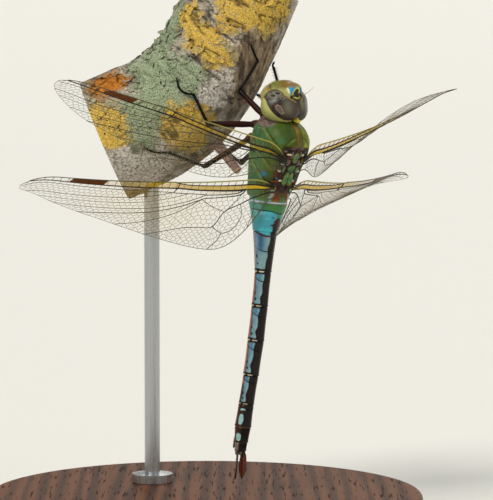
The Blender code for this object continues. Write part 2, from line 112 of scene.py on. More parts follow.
def roughness(points, size, octaves=4, seed=0):
    # grain summed at sizes halved each time, each with half the height, brought back to 0 to 1
    heights = 0.5 ** np.arange(octaves)
    layers = [h * grain(points, size * h, seed + k) for k, h in enumerate(heights)]
    return sum(layers) / heights.sum()


def turned(placing):
    # origin and axes of a body frame: place, lean to the viewer, lean to the right, turn about its length
    place, toViewer, toRight, turn = placing
    b, c, t = np.radians([toViewer, toRight, turn])
    axes = np.array([(0, -np.cos(t), np.sin(t)), (0, -np.sin(t), -np.cos(t)), (1, 0, 0)])
    aboutY = np.array([(np.cos(c), 0, np.sin(c)), (0, 1, 0), (-np.sin(c), 0, np.cos(c))])
    aboutX = np.array([(1, 0, 0), (0, np.cos(b), -np.sin(b)), (0, np.sin(b), np.cos(b))])
    return np.array(place, float), aboutY @ aboutX @ axes


def inFrame(placing, points):
    # origin + axes * (a, l, d)
    origin, axes = turned(placing)
    return origin + np.asarray(points, float) @ axes.T


# shapes: (points, list of face arrays, dictionary of marks)


def ringFaces(rows, columns):
    # quads (i, j), (i, j+1), (i+1, j+1), (i+1, j), where the last column meets the first
    i, j = np.meshgrid(np.arange(rows - 1), np.arange(columns), indexing="ij")
    k = (j + 1) % columns
    return stacked(i * columns + j, i * columns + k, (i + 1) * columns + k,
                   (i + 1) * columns + j).reshape(-1, 4)


def outward(points, faces):
    # turns every face round when the summed volume of the cones to the origin is negative
    centre = points.mean(0)
    volume = 0.0
    for face in faces:
        for k in range(1, face.shape[1] - 1):
            a, b, c = (points[face[:, n]] - centre for n in (0, k, k + 1))
            volume += np.einsum("ij,ij->", a, np.cross(b, c))
    return faces if volume > 0 else [face[:, ::-1] for face in faces]


def skinShape(rings, marks=None):
    # rings is rows x columns x 3: a closed skin with a flat cap on its first and last ring
    rows, columns = rings.shape[:2]
    points = rings.reshape(-1, 3)
    ends = np.stack([np.arange(columns)[::-1], (rows - 1) * columns + np.arange(columns)])
    flat = {name: np.broadcast_to(value, (rows, columns)).ravel() for name, value in (marks or {}).items()}
    return points, outward(points, [ringFaces(rows, columns), ends]), flat


def tubeShape(path, radii, sides=8, marks=None, flat=1.0, reference=None):
    # a ring round each point of the path, in the plane across it; flat squeezes it along the reference
    path = np.asarray(path, float)
    radii = np.broadcast_to(np.asarray(radii, float), len(path))[:, None, None]
    heading = unit(np.gradient(path, axis=0))
    if reference is None:
        reference = np.eye(3)[np.argmin(np.abs(unit(path[-1] - path[0])))]
    side = unit(np.cross(heading, reference))[:, None]
    other = np.cross(side[:, 0], heading)[:, None]
    angle = circle(sides)[..., None]
    rings = path[:, None] + (side * np.cos(angle) + other * np.sin(angle) * flat) * radii
    spread = {name: np.broadcast_to(np.asarray(value, float), len(path))[:, None]
              for name, value in (marks or {}).items()}
    return skinShape(rings, spread)


def strutShape(starts, ends, startRadii, endRadii, sides=4, marks=None):
    # one closed prism from each start to its end
    starts, ends = np.asarray(starts, float), np.asarray(ends, float)
    count = len(starts)
    heading = unit(ends - starts)
    reference = np.where(np.abs(heading[:, 1:2]) < 0.8, (0, 1, 0), (1, 0, 0))
    side = unit(np.cross(heading, reference))[:, None]
    other = np.cross(heading, side[:, 0])[:, None]
    angle = circle(sides)[..., None]
    around = side * np.cos(angle) + other * np.sin(angle)
    near = starts[:, None] + around * np.broadcast_to(startRadii, count)[:, None, None]
    far = ends[:, None] + around * np.broadcast_to(endRadii, count)[:, None, None]
    points = np.stack([near, far], 1).reshape(-1, 3)
    base = (np.arange(count) * 2 * sides)[:, None]
    j = np.arange(sides)[None]
    k = (j + 1) % sides
    walls = stacked(base + j, base + k, base + sides + k, base + sides + j).reshape(-1, 4)
    caps = np.concatenate([base + j[:, ::-1], base + sides + j])
    flat = {name: np.repeat(np.broadcast_to(value, count), 2 * sides)
            for name, value in (marks or {}).items()}
    return points, [walls, caps], flat


def ballShape(centre, radii, axes=np.eye(3), rows=14, columns=20):
    # centre + axes * (r1 cos p, r2 sin p cos t, r3 sin p sin t)
    polar = np.linspace(0.03, np.pi - 0.03, rows)[:, None]
    angle = circle(columns)
    local = stacked(radii[0] * np.cos(polar), radii[1] * np.sin(polar) * np.cos(angle),
                    radii[2] * np.sin(polar) * np.sin(angle))
    return skinShape(np.asarray(centre, float) + local @ axes.T)


def joined(shapes):
    # the shapes as one, each one's faces counted on from the points before it
    names = {name for shape in shapes for name in shape[2]}
    starts = np.cumsum([0] + [len(shape[0]) for shape in shapes])
    points = np.concatenate([shape[0] for shape in shapes])
    faces = [face + start for shape, start in zip(shapes, starts) for face in shape[1]]
    marks = {
        name: np.concatenate([shape[2].get(name, np.zeros(len(shape[0]))) for shape in shapes])
        for name in names
    }
    return points, faces, marks


def inScene(name, data):
    # a new object of the scene that shows the data
    thing = bpy.data.objects.new(name, data)
    bpy.context.collection.objects.link(thing)
    return thing


def addPiece(name, shape, finish, nodes=(), sharp=None):
    # the shape as an object that rides on the frame and stands for the named solids
    points, faces, marks = shape
    mesh = bpy.data.meshes.new(name)
    sizes = np.concatenate([np.full(len(face), face.shape[1]) for face in faces])
    corners = np.concatenate([face.ravel() for face in faces]).astype(np.int32)
    mesh.vertices.add(len(points))
    mesh.vertices.foreach_set("co", (points * mm).astype(np.float32).ravel())
    mesh.loops.add(len(corners))
    mesh.loops.foreach_set("vertex_index", corners)
    mesh.polygons.add(len(sizes))
    mesh.polygons.foreach_set("loop_start", np.concatenate([[0], np.cumsum(sizes)[:-1]]).astype(np.int32))
    mesh.update(calc_edges=True)
    for mark, values in marks.items():
        layer = mesh.attributes.new(mark, "FLOAT", "POINT")
        layer.data.foreach_set("value", values.astype(np.float32))
    mesh.shade_smooth()
    if sharp is not None:
        mesh.set_sharp_from_angle(angle=math.radians(sharp))
    mesh.materials.append(finish)
    piece = inScene(name, mesh)
    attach(piece, "root")
    if nodes:
        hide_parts(*nodes)
    return piece


# materials


def tone(code):
    # "rrggbb" as a linear colour
    values = np.array([int(code[k:k + 2], 16) for k in (0, 2, 4)]) / 255
    linear = np.where(values <= 0.04045, values / 12.92, ((values + 0.055) / 1.055) ** 2.4)
    return (*linear.tolist(), 1.0)


class Wire:
    # an output socket; + - * / on it add Math nodes
    def __init__(self, tree, socket):
        self.tree, self.socket = tree, socket

    def math(self, operation, *values):
        # one Math node on the values
        node = self.tree.nodes.new("ShaderNodeMath")
        node.operation = operation
        for target, value in zip(node.inputs, values):
            plug(self.tree, target, value)
        return Wire(self.tree, node.outputs[0])

    def __add__(self, other):
        return self.math("ADD", self, other)

    def __sub__(self, other):
        return self.math("SUBTRACT", self, other)

    def __rsub__(self, other):
        return self.math("SUBTRACT", other, self)

    def __mul__(self, other):
        return self.math("MULTIPLY", self, other)

    __radd__ = __add__
    __rmul__ = __mul__


def plug(tree, target, value):
    # links a wire to a socket, or sets the socket to a plain value
    if isinstance(value, Wire):
        tree.links.new(value.socket, target)
    else:
        target.default_value = value


class Finish:
    # a material with one Principled shader
    def __init__(self, name, **sockets):
        self.material = bpy.data.materials.new(name)
        self.material.use_nodes = True
        self.tree = self.material.node_tree
        self.shader = self.tree.nodes["Principled BSDF"]
        self.feed(**{"specularIorLevel": 0.3} | sockets)
        self.place = self.node("ShaderNodeTexCoord", output="Object")

    def feed(self, **sockets):
        # coatWeight=0.5 sets the socket Coat Weight
        for name, value in sockets.items():
            words = "".join(" " + letter if letter.isupper() else letter for letter in name).title()
            plug(self.tree, self.shader.inputs[words.replace("Ior", "IOR")], value)

    def node(self, kind, settings=None, output=0, **sockets):
        # any node: its settings first, then its sockets by name, or by place as _0, _6
        node = self.tree.nodes.new(kind)
        for setting, value in (settings or {}).items():
            setattr(node, setting, value)
        for name, value in sockets.items():
            target = node.inputs[int(name[1:])] if name[0] == "_" else node.inputs[name.replace("_", " ")]
            plug(self.tree, target, value)
        return Wire(self.tree, node.outputs[output])

    def moved(self, scale=(1, 1, 1), turn=(0, 0, 0), where=None):
        # places scaled and turned about the origin
        return self.node("ShaderNodeMapping", Vector=where or self.place, Scale=scale, Rotation=turn)

    def noise(self, size, detail=4, rough=0.55, where=None, twist=0):
        # size is the width of one blotch in millimetres
        return self.node("ShaderNodeTexNoise", Vector=where or self.place, Scale=1 / (size * mm),
                         Detail=detail, Roughness=rough, Distortion=twist)

    def cells(self, size, feature="F1", where=None, output=0):
        # distance to the nearest seed of a cell pattern, in cell widths
        return self.node("ShaderNodeTexVoronoi", {"feature": feature}, output, Vector=where or self.place,
                         Scale=1 / (size * mm))

    def mark(self, name):
        # a number carried by the points
        return self.node("ShaderNodeAttribute", {"attribute_name": name}, "Fac")

    def laidOn(self):
        # the colour worked out for each point
        return self.node("ShaderNodeCombineColor", **{name.title(): self.mark(name) for name in channels})

    def ease(self, value, low, high, start=0, end=1):
        # start below low, end above high, 3t^2 - 2t^3 between
        return self.node("ShaderNodeMapRange", {"interpolation_type": "SMOOTHSTEP"}, _0=value,
                         _1=low, _2=high, _3=start, _4=end)

    def mix(self, factor, first, second, way="MIX"):
        # colours: factor 0 gives the first, 1 the second
        return self.node("ShaderNodeMix", {"data_type": "RGBA", "blend_type": way}, 2, _0=factor,
                         _6=first, _7=second)

    def relief(self, height, depth, strength=1.0):
        # depth in millimetres between height 0 and 1
        self.feed(normal=self.node("ShaderNodeBump", Height=height, Distance=depth * mm, Strength=strength))


def mottled(name, size, detail, tones, depth=0.0, spread=None, **sockets):
    # colour runs from the first tone to the second with a noise that is also the relief
    finish = Finish(name, **sockets)
    noise = finish.noise(size, detail)
    finish.feed(baseColor=finish.mix(finish.ease(noise, *spread) if spread else noise, *map(tone, tones)))
    if depth:
        finish.relief(noise, depth)
    return finish.material


print("tools ready")

# camera, light and floor

view = {
    "target": (8, 0, 54.7), "distance": 600, "down": 4.5, "longSide": 95.75,
    "floorRadius": 12, "floorFlat": 1.5, "floorRise": 1.6, "floorSides": 128, "floorColour": "e6e4dc",
    "worldColour": (0.93, 0.96, 1, 1), "worldStrength": 0.3,
    # each lamp: where it shines from, strength, softness in degrees, colour
    "lamps": {"keyLamp": ((-0.55, -0.7, 0.95), 2.3, 24, (1, 0.97, 0.92)),
              "fillLamp": ((0.9, -0.6, 0.6), 0.7, 60, (0.93, 0.96, 1)),
              "backLamp": ((0.25, 0.9, 0.8), 0.8, 40, (1, 0.98, 0.9))},
}


def setCamera():
    # the camera stands distance away from the target, looking down by an angle
    down = math.radians(view["down"])
    camera = bpy.data.cameras.new("camera")
    camera.sensor_width = 36.0
    camera.lens = camera.sensor_width * view["distance"] / view["longSide"]
    camera.clip_end = 100.0
    holder = inScene("camera", camera)
    x, y, z = view["target"]
    holder.location = (x * mm, (y - view["distance"] * math.cos(down)) * mm,
                       (z + view["distance"] * math.sin(down)) * mm)
    holder.rotation_euler = (math.radians(90) - down, 0, 0)
    bpy.context.scene.camera = holder


def addLamp(name, source, strength, softness, colour):
    # a far soft lamp that shines from the source towards the model
    lamp = bpy.data.lights.new(name, "SUN")
    lamp.energy, lamp.angle, lamp.color = strength, math.radians(softness), colour
    holder = inScene(name, lamp)
    holder.location = source
    holder.rotation_euler = Vector(source).to_track_quat("Z", "Y").to_euler()


def setStage():
    # a pale sweep: flat round the model, then rising by rise * ease(flat, radius, r)
    world = bpy.data.worlds.new("studio")
    bpy.context.scene.world = world
    world.use_nodes = True
    sky = world.node_tree.nodes["Background"]
    sky.inputs["Color"].default_value = view["worldColour"]
    sky.inputs["Strength"].default_value = view["worldStrength"]
    bpy.context.scene.view_settings.view_transform = "Standard"
    for name, lamp in view["lamps"].items():
        addLamp(name, *lamp)
    radius = np.concatenate([[0.02], np.linspace(view["floorFlat"], view["floorRadius"], 40)])[:, None]
    angle = circle(view["floorSides"])
    height = view["floorRise"] * ease(view["floorFlat"], view["floorRadius"], radius)
    rings = stacked(radius * np.cos(angle), radius * np.sin(angle), height)
    mesh = bpy.data.meshes.new("floor")
    faces = [list(range(view["floorSides"]))] + ringFaces(*rings.shape[:2]).tolist()
    mesh.from_pydata(rings.reshape(-1, 3).tolist(), [], faces)
    mesh.shade_smooth()
    floor = inScene("floor", mesh)
    paper = Finish("floorPaper", baseColor=tone(view["floorColour"]), roughness=0.8)
    mesh.materials.append(paper.material)


setCamera()
setStage()
print("camera and stage set")

# stand

stand = {"woodDark": "432716", "woodLight": "6b4226", "pores": "2c180d", "steel": (0.45, 0.46, 0.47, 1),
         "steelDull": 0.36, "steelBright": 0.24}


def finishStand():
    # turned wood with long grain and pores, and a rod with fine drawing lines
    wood = Finish("turnedWalnut", specularIorLevel=0.04)
    drift = wood.noise(14, 3, where=wood.moved((1, 0.16, 1)))
    long = wood.moved((1, 0.05, 1))
    bands = wood.node("ShaderNodeTexWave", {"bands_direction": "X"}, 1, Vector=long, Scale=90.0,
                      Distortion=7.0, Detail=3.0, Detail_Scale=1.4)
    pores = wood.ease(wood.noise(0.5, 2, where=wood.moved((1, 0.06, 0.3))), 0.3, 0.44)
    light = wood.mix(wood.ease(bands * 0.6 + drift * 0.6, 0.25, 0.95), tone(stand["woodDark"]),
                     tone(stand["woodLight"]))
    wood.feed(baseColor=wood.mix(pores, tone(stand["pores"]), light),
              roughness=wood.ease(pores, 0, 1, 0.6, 0.38))
    wood.relief(pores + bands * 0.2, 0.05)
    steel = Finish("steelRod", baseColor=stand["steel"], metallic=1.0)
    lines = steel.noise(0.12, 2, where=steel.moved((1, 1, 0.01)))
    steel.feed(roughness=steel.ease(lines, 0.3, 0.7, stand["steelBright"], stand["steelDull"]))
    steel.relief(lines, 0.01)
    for node, finish in (("stand_base", wood), ("stand_rod", steel)):
        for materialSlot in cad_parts[node].material_slots:
            materialSlot.material = finish.material


finishStand()
print("stand finished")

# branch

branch = {
    "line": ((9, 13, 106.5), (3.8, 13, 95.5), (-2.3, 13, 85.8), (-10.2, 13, 79.1), (-19.6, 13, 75)),
    "radii": (10.2, 10.7, 11.4, 12, 12.4),
    "knots": ((0.2, 200, 0.7), (0.45, 80, 0.5), (0.6, 300, 0.8), (0.8, 150, 0.7)), "knotSpread": 0.12,
    "rings": 190, "sides": 250, "capRings": 16, "wrinkleDepth": 0.42,
    # lichen patches: middle, reach
    "sage": (((-7.6, 2.2, 86.6), 6.2), ((-3.6, 2, 88), 3.2), ((-12.4, 0.9, 79.4), 5), ((-11.4, 6, 90.5), 4.4),
             ((-7.6, 8, 95.2), 3.4), ((-5.7, 8.3, 98.6), 3.2), ((-8, 20, 88), 8), ((6, 23.5, 96), 6)),
    "gold": (((-3.4, 2.4, 78.2), 4.9), ((-19.6, 1.4, 78), 4.9), ((-2.8, 5.4, 98.9), 2.6),
             ((-0.4, 2.7, 95.4), 3.1), ((2, 2.1, 92.2), 2.6), ((6.6, 2.6, 101), 5),
             ((12.3, 4.4, 101), 4.6), ((-15, 22, 70), 5), ((4, 22, 84), 4.5)),
    "rust": (((-19.2, 6.4, 86), 3.9), ((-12, 24, 84), 3.2)),
    # the first brown patch is brown bark; the last one, low under the branch's left end, is painted shade
    "brown": (((8.5, 5, 89), 7.5), ((3, 14, 72), 8), ((-13, 10, 66), 6)),
    "pale": (((-13, 3.5, 71), 6.5), ((0.8, 2, 86), 5.4), ((3, 4, 96), 3.2), ((-8, 2, 75), 4.5)),
}


def barkGrid():
    # centre(s) + (across cos t + toward sin t) (radius + knots - wrinkles), and how cracked each point is
    part = np.linspace(0, 1, branch["rings"])
    angle = circle(branch["sides"])
    centre = smoothCurve(branch["line"], part)
    after, before = (smoothCurve(branch["line"], np.clip(part + step, 0, 1)) for step in (0.01, -0.01))
    ahead = unit(after - before)
    across = unit(np.cross(ahead, (0, 1, 0)))
    toward = np.cross(across, ahead)
    radius = smoothCurve(np.array(branch["radii"])[:, None], part)
    for place, turn, height in branch["knots"]:
        facing = np.maximum(np.cos(angle - math.radians(turn)), 0) ** 2
        radius = radius + height * bell(part[:, None], place, branch["knotSpread"]) * facing
    out = across[:, None] * np.cos(angle)[..., None] + toward[:, None] * np.sin(angle)[..., None]
    smooth = centre[:, None] + out * radius[..., None]
    along = (part * 46.0)[:, None] + 0 * angle
    flat = stacked(along / 0.55, smooth[..., 0] + smooth[..., 2], smooth[..., 1] * 1.3)
    bent = flat + 2.2 * roughness(smooth, 5.0, 2, 3)[..., None]
    ridges = 1 - np.abs(2 * roughness(bent, 3.4, 3, 7) - 1)
    cracks = ease(0.86, 0.99, ridges) * ease(0.4, 0.62, grain(smooth, 6, 11))
    lumps = roughness(smooth, 2.2, 4, 5)
    depth = branch["wrinkleDepth"] * (0.55 * (1 - lumps) + 0.75 * cracks)
    return smooth - out * depth[..., None], centre, cracks


def patch(points, spots, seed):
    # 1 inside any of the spots, with an edge that wanders by noise
    wander = 3.2 * (roughness(points, 3.0, 4, seed) - 0.5) + 2.0 * (grain(points, 0.6, seed + 9) - 0.5)
    inside = [reach - np.linalg.norm(points - np.array(middle), axis=-1) for middle, reach in spots]
    return ease(-0.5, 0.5, np.max(inside, axis=0) + wander)


def branchFinish():
    # grey, brown and pale bark under three lichens, the brown in part painted shade low under the branch; the
    # sawn ends have year rings: sin(95 radial + noise)
    bark = Finish("barkAndLichen", roughness=0.92)
    fine = bark.noise(0.5, 6, 0.65)
    broad = bark.noise(5, 5, 0.6, twist=0.6)
    crack = bark.mark("crack")
    speckCells = bark.cells(0.55)
    streaks = bark.noise(1.1, 5, 0.6, where=bark.moved((1, 1, 0.2), (0, 0.42, 0)))
    grey = bark.mix(bark.ease(broad, 0.38, 0.62), tone("62574a"), tone("c2b8a4"))
    brown = bark.mix(bark.ease(streaks, 0.36, 0.64), tone("45321f"), tone("aa9473"))
    # the brown mark: brown bark, and painted shade where it lies low under the branch
    grey = bark.mix(bark.mark("brown") * 0.9, grey, brown)
    grey = bark.mix(bark.mark("pale") * 0.85, grey,
                    bark.mix(bark.ease(fine, 0.35, 0.6), tone("95897b"), tone("e4ddd0")))
    grey = bark.mix(bark.ease(fine, 0.42, 0.3) * 0.7, grey, tone("3b2b1d"))
    squiggle = bark.ease(bark.cells(0.8, "DISTANCE_TO_EDGE", bark.moved((1, 1, 1.9))), 0.1, 0.02)
    grey = bark.mix(squiggle * bark.ease(broad, 0.45, 0.6) * 0.7, grey, tone("43301f"))
    grit = bark.noise(0.22, 3, 0.6)
    sage = bark.mix(bark.ease(grit, 0.32, 0.62), tone("566448"), tone("a9b592"))
    sage = bark.mix(bark.ease(broad, 0.56, 0.66) * 0.35, sage, tone("bcc3a6"))
    gold = bark.mix(bark.ease(grit, 0.3, 0.62), tone("a06c1e"), tone("e4c45c"))
    rust = bark.mix(bark.ease(fine, 0.3, 0.7), tone("86480f"), tone("cd8426"))
    colour = bark.mix(bark.mark("sage") * bark.ease(speckCells, 0.95, 0.7), grey, sage)
    colour = bark.mix(bark.mark("gold") * bark.ease(bark.noise(0.9, 4, 0.7), 0.33, 0.45), colour, gold)
    colour = bark.mix(bark.mark("rust"), colour, rust)
    dots = bark.ease(bark.cells(1.1), 0.2, 0.13) * bark.ease(bark.noise(4, 2), 0.5, 0.56)
    colour = bark.mix(dots, colour, tone("0d0d0c"))
    colour = bark.mix(crack * 0.8, colour, tone("2a201b"))
    ringTurn = bark.mark("radial") * 95 + bark.noise(3, 3) * 5
    ringWave = bark.node("ShaderNodeMath", {"operation": "SINE"}, _0=ringTurn)
    cut = bark.mix(ringWave * 0.5 + 0.5, tone("a98557"), tone("cfb083"))
    cut = bark.mix(bark.ease(bark.mark("radial"), 0.2, 0.75) * 0.5, tone("8e6a45"), cut)
    rimmed = bark.mix(bark.ease(bark.mark("radial"), 0.9, 0.93), cut, tone("57402c"))
    bark.feed(baseColor=bark.mix(bark.mark("cut"), colour, rimmed))
    bark.relief(fine * 0.7 + (1 - squiggle) * 0.4 + speckCells * 0.3 - dots, 0.16)
    return bark.material


def buildBranch():
    # the bark grid with its patches, closed by the sawn ends
    grid, centre, cracks = barkGrid()
    marks = {name: patch(grid, branch[name], seed)
             for seed, name in enumerate(("sage", "gold", "rust", "brown", "pale"), 20)}
    marks["sage"] = marks["sage"] * (1 - marks["rust"])
    marks["crack"] = cracks * (1 - 0.7 * marks["sage"])
    marks["radial"] = np.ones_like(cracks)
    marks["cut"] = np.zeros_like(cracks)
    # the sawn ends: the end rings drawn in towards their middles
    share = np.linspace(0.02, 0.985, branch["capRings"])[:, None, None]
    ends = []
    for row, order in ((0, 1), (-1, -1)):
        face = (centre[row] + (grid[row] - centre[row])[None] * share)[::order]
        drawn = {name: np.zeros(face.shape[:2]) for name in marks}
        drawn["radial"] = np.broadcast_to(share[::order, :, 0], face.shape[:2])
        drawn["cut"] = np.ones(face.shape[:2])
        ends.append((face, drawn))
    rings = np.concatenate([ends[0][0], grid, ends[1][0]])
    allMarks = {name: np.concatenate([ends[0][1][name], marks[name], ends[1][1][name]]) for name in marks}
    shape = skinShape(rings, allMarks)
    finish = branchFinish()
    addPiece("branchBark", shape, finish, ["perch_branch"], sharp=50)
    return shape, grid, marks, finish


barkShape, barkSurface, barkMarks, barkFinish = buildBranch()
barkTree = BVHTree.FromPolygons(barkShape[0].tolist(), barkShape[1][0].tolist())
print("branch built:", len(barkShape[0]), "points")

lichen = {"kinds": ("sage", "gold", "rust"), "count": 420, "size": (0.45, 1), "thick": 0.09, "curl": 0.22,
          "edgeRows": 6, "leastSage": 0.35, "seed": 4}


def buildLichen():
    # leafy lobes: r(t) = size (1 + 0.25 sin 3t + 0.12 sin 7t), cupped by curl r^2, laid on the bark
    random = np.random.default_rng(lichen["seed"])
    rows, columns = barkSurface.shape[:2]
    normal = np.cross(np.roll(barkSurface, -1, 1) - np.roll(barkSurface, 1, 1),
                      np.gradient(barkSurface, axis=0))
    outside = barkSurface - barkSurface.mean(1, keepdims=True)
    normal = unit(normal * np.sign(np.sum(normal * outside, -1, keepdims=True)))
    edges = sum(barkMarks[name] * (1 - barkMarks[name]) * 4 + 0.12 * barkMarks[name]
                for name in lichen["kinds"])
    inner = np.zeros((rows, columns))
    inner[lichen["edgeRows"]:-lichen["edgeRows"]] = 1
    chance = (edges + 1e-9).ravel() * inner.ravel()
    picks = random.choice(rows * columns, lichen["count"], replace=False, p=chance / chance.sum())
    where, out = barkSurface.reshape(-1, 3)[picks], normal.reshape(-1, 3)[picks]
    side = unit(np.cross(out, random.normal(size=out.shape)))
    other = np.cross(out, side)
    low, high = lichen["size"]
    size = random.uniform(low, high, len(picks))[:, None, None]
    ring = np.array([0.12, 0.55, 0.85, 1.0])
    share = np.concatenate([ring, ring[::-1] * 0.97])[None, :, None]
    lift = np.concatenate([np.full(4, lichen["thick"]), np.zeros(4)])[None, :, None]
    t = circle(12)[None]
    turn = random.uniform(0, 2 * np.pi, len(picks))[:, None, None]
    radius = size * share * (1 + 0.25 * np.sin(3 * t + turn) + 0.12 * np.sin(7 * t + 2 * turn))
    height = lift + lichen["curl"] * share ** 2 * size * (0.5 + 0.5 * np.sin(2 * t + turn)) + 0.03
    points = (where[:, None, None] + side[:, None, None] * (radius * np.cos(t + turn))[..., None]
              + other[:, None, None] * (radius * np.sin(t + turn))[..., None]
              + out[:, None, None] * height[..., None])
    marks = {name: barkMarks[name].ravel()[picks] for name in lichen["kinds"]}
    marks["sage"] = np.maximum(marks["sage"], lichen["leastSage"])
    shapes = [skinShape(lobe, {name: value[k] for name, value in marks.items()})
              for k, lobe in enumerate(points)]
    addPiece("lichenLobes", joined(shapes), barkFinish)


twig = {"root": (2.4, 7.5, 74.6), "tip": (6.5, 4.2, 69.4), "inside": 0.12, "rows": 60, "sides": 36,
        "places": (0, 0.12, 0.6, 0.93, 0.99, 1), "radii": (1.24, 1.1, 0.95, 0.85, 0.6, 0.1),
        "dark": "5d4036", "light": "b39488", "wood": "c8a88f"}


def buildTwig():
    # a stub with a swollen foot, long wrinkles and a broken tip: radius(part) (0.88 + 0.13 wrinkle)
    root, tip = np.array(twig["root"]), np.array(twig["tip"])
    part = np.linspace(-twig["inside"], 1, twig["rows"])
    path = root + (tip - root) * part[:, None]
    radii = np.interp(part, twig["places"], twig["radii"])
    angle = circle(twig["sides"])
    rings = tubeShape(path, 1.0, twig["sides"])[0].reshape(twig["rows"], twig["sides"], 3)
    out = rings - path[:, None]
    wrinkle = roughness(stacked(part[:, None] * 6, 2.2 * np.cos(angle), 2.2 * np.sin(angle)), 1.0, 4, 31)
    rings = path[:, None] + out * (radii[:, None] * (0.88 + 0.13 * wrinkle))[..., None]
    skin = Finish("twigBark", roughness=0.88)
    fine = skin.noise(0.35, 5, 0.65)
    colour = skin.mix(skin.ease(fine, 0.3, 0.7), tone(twig["dark"]), tone(twig["light"]))
    skin.feed(baseColor=skin.mix(skin.ease(skin.mark("tip"), 0.9, 0.97), colour, tone(twig["wood"])))
    skin.relief(fine, 0.12)
    addPiece("twigStub", skinShape(rings, {"tip": part[:, None]}), skin.material, ["perch_twig"])


buildLichen()
buildTwig()
print("lichen and twig built")

# wings

thoraxPlace = ((13.65, -3.7, 70.2), 5.4, 9, 42)
# hinge in the thorax's frame (mm); nodus and wing spot as parts of the length
blades = {
    "fore": {"length": 51.8, "chord": 11.6, "hinge": (3.6, 2.9, 4.7), "notch": 1.8, "tipDrop": 0.9,
             "nodus": 0.5, "stigma": (0.674, 0.797)},
    "hind": {"length": 50.7, "chord": 15, "hinge": (-2.2, 3.4, 2.9), "notch": 1.2, "tipDrop": 2.1,
             "nodus": 0.385, "stigma": (0.676, 0.805)},
}
# sweep forward, droop, bend down at the tip and bow forward (mm), pitch at each third of the length
wingPoses = {
    ("fore", "left"): (11.5, 10, -1, 0, (10, 31.8, 49.3, 66)),
    ("fore", "right"): (13.4, 10.9, 1.5, -1.3, (17, 40, 57.8, 69.3)),
    ("hind", "left"): (-3.25, 9.07, 5.33, -0.95, (9.7, 27.7, 47.6, 51.3)),
    ("hind", "right"): (-0.75, 17.4, 2.75, -1.7, (18, 41.3, 53.2, 56.5)),
}
wing = {
    "thick": 0.06, "rows": 200, "columns": 72, "rootInside": 1.2, "fold": 0.2,
    "veinRows": 150, "veinSides": 7, "front": 0.125, "rear": 0.055, "spur": 0.065, "tip": 0.05, "knee": 0.1,
    "cellSize": 1.06, "cellVein": 0.029, "crossVein": 0.052, "seed": 12,
    "clear": "c9bf86", "amber": "e4bc0c", "smoke": "8d8468", "clearAlpha": 0.012, "amberAlpha": 0.62,
    # amber of each wing: reach past the nodus, least share further out, strength, tint of the front strip
    "gold": {("fore", "left"): (0.1, 0.12, 0.34, 0), ("fore", "right"): (0.22, 0.2, 0.95, 0.2),
             ("hind", "left"): (0.25, 0.25, 1, 0), ("hind", "right"): (0.25, 0.25, 1, 0.16)},
    "dark": "17110d", "costa": "8f8538", "orange": "7c3d12", "cell": "665c38", "costaLight": "b3a956",
    "stigma": ("33190b", "7c4518"),
}
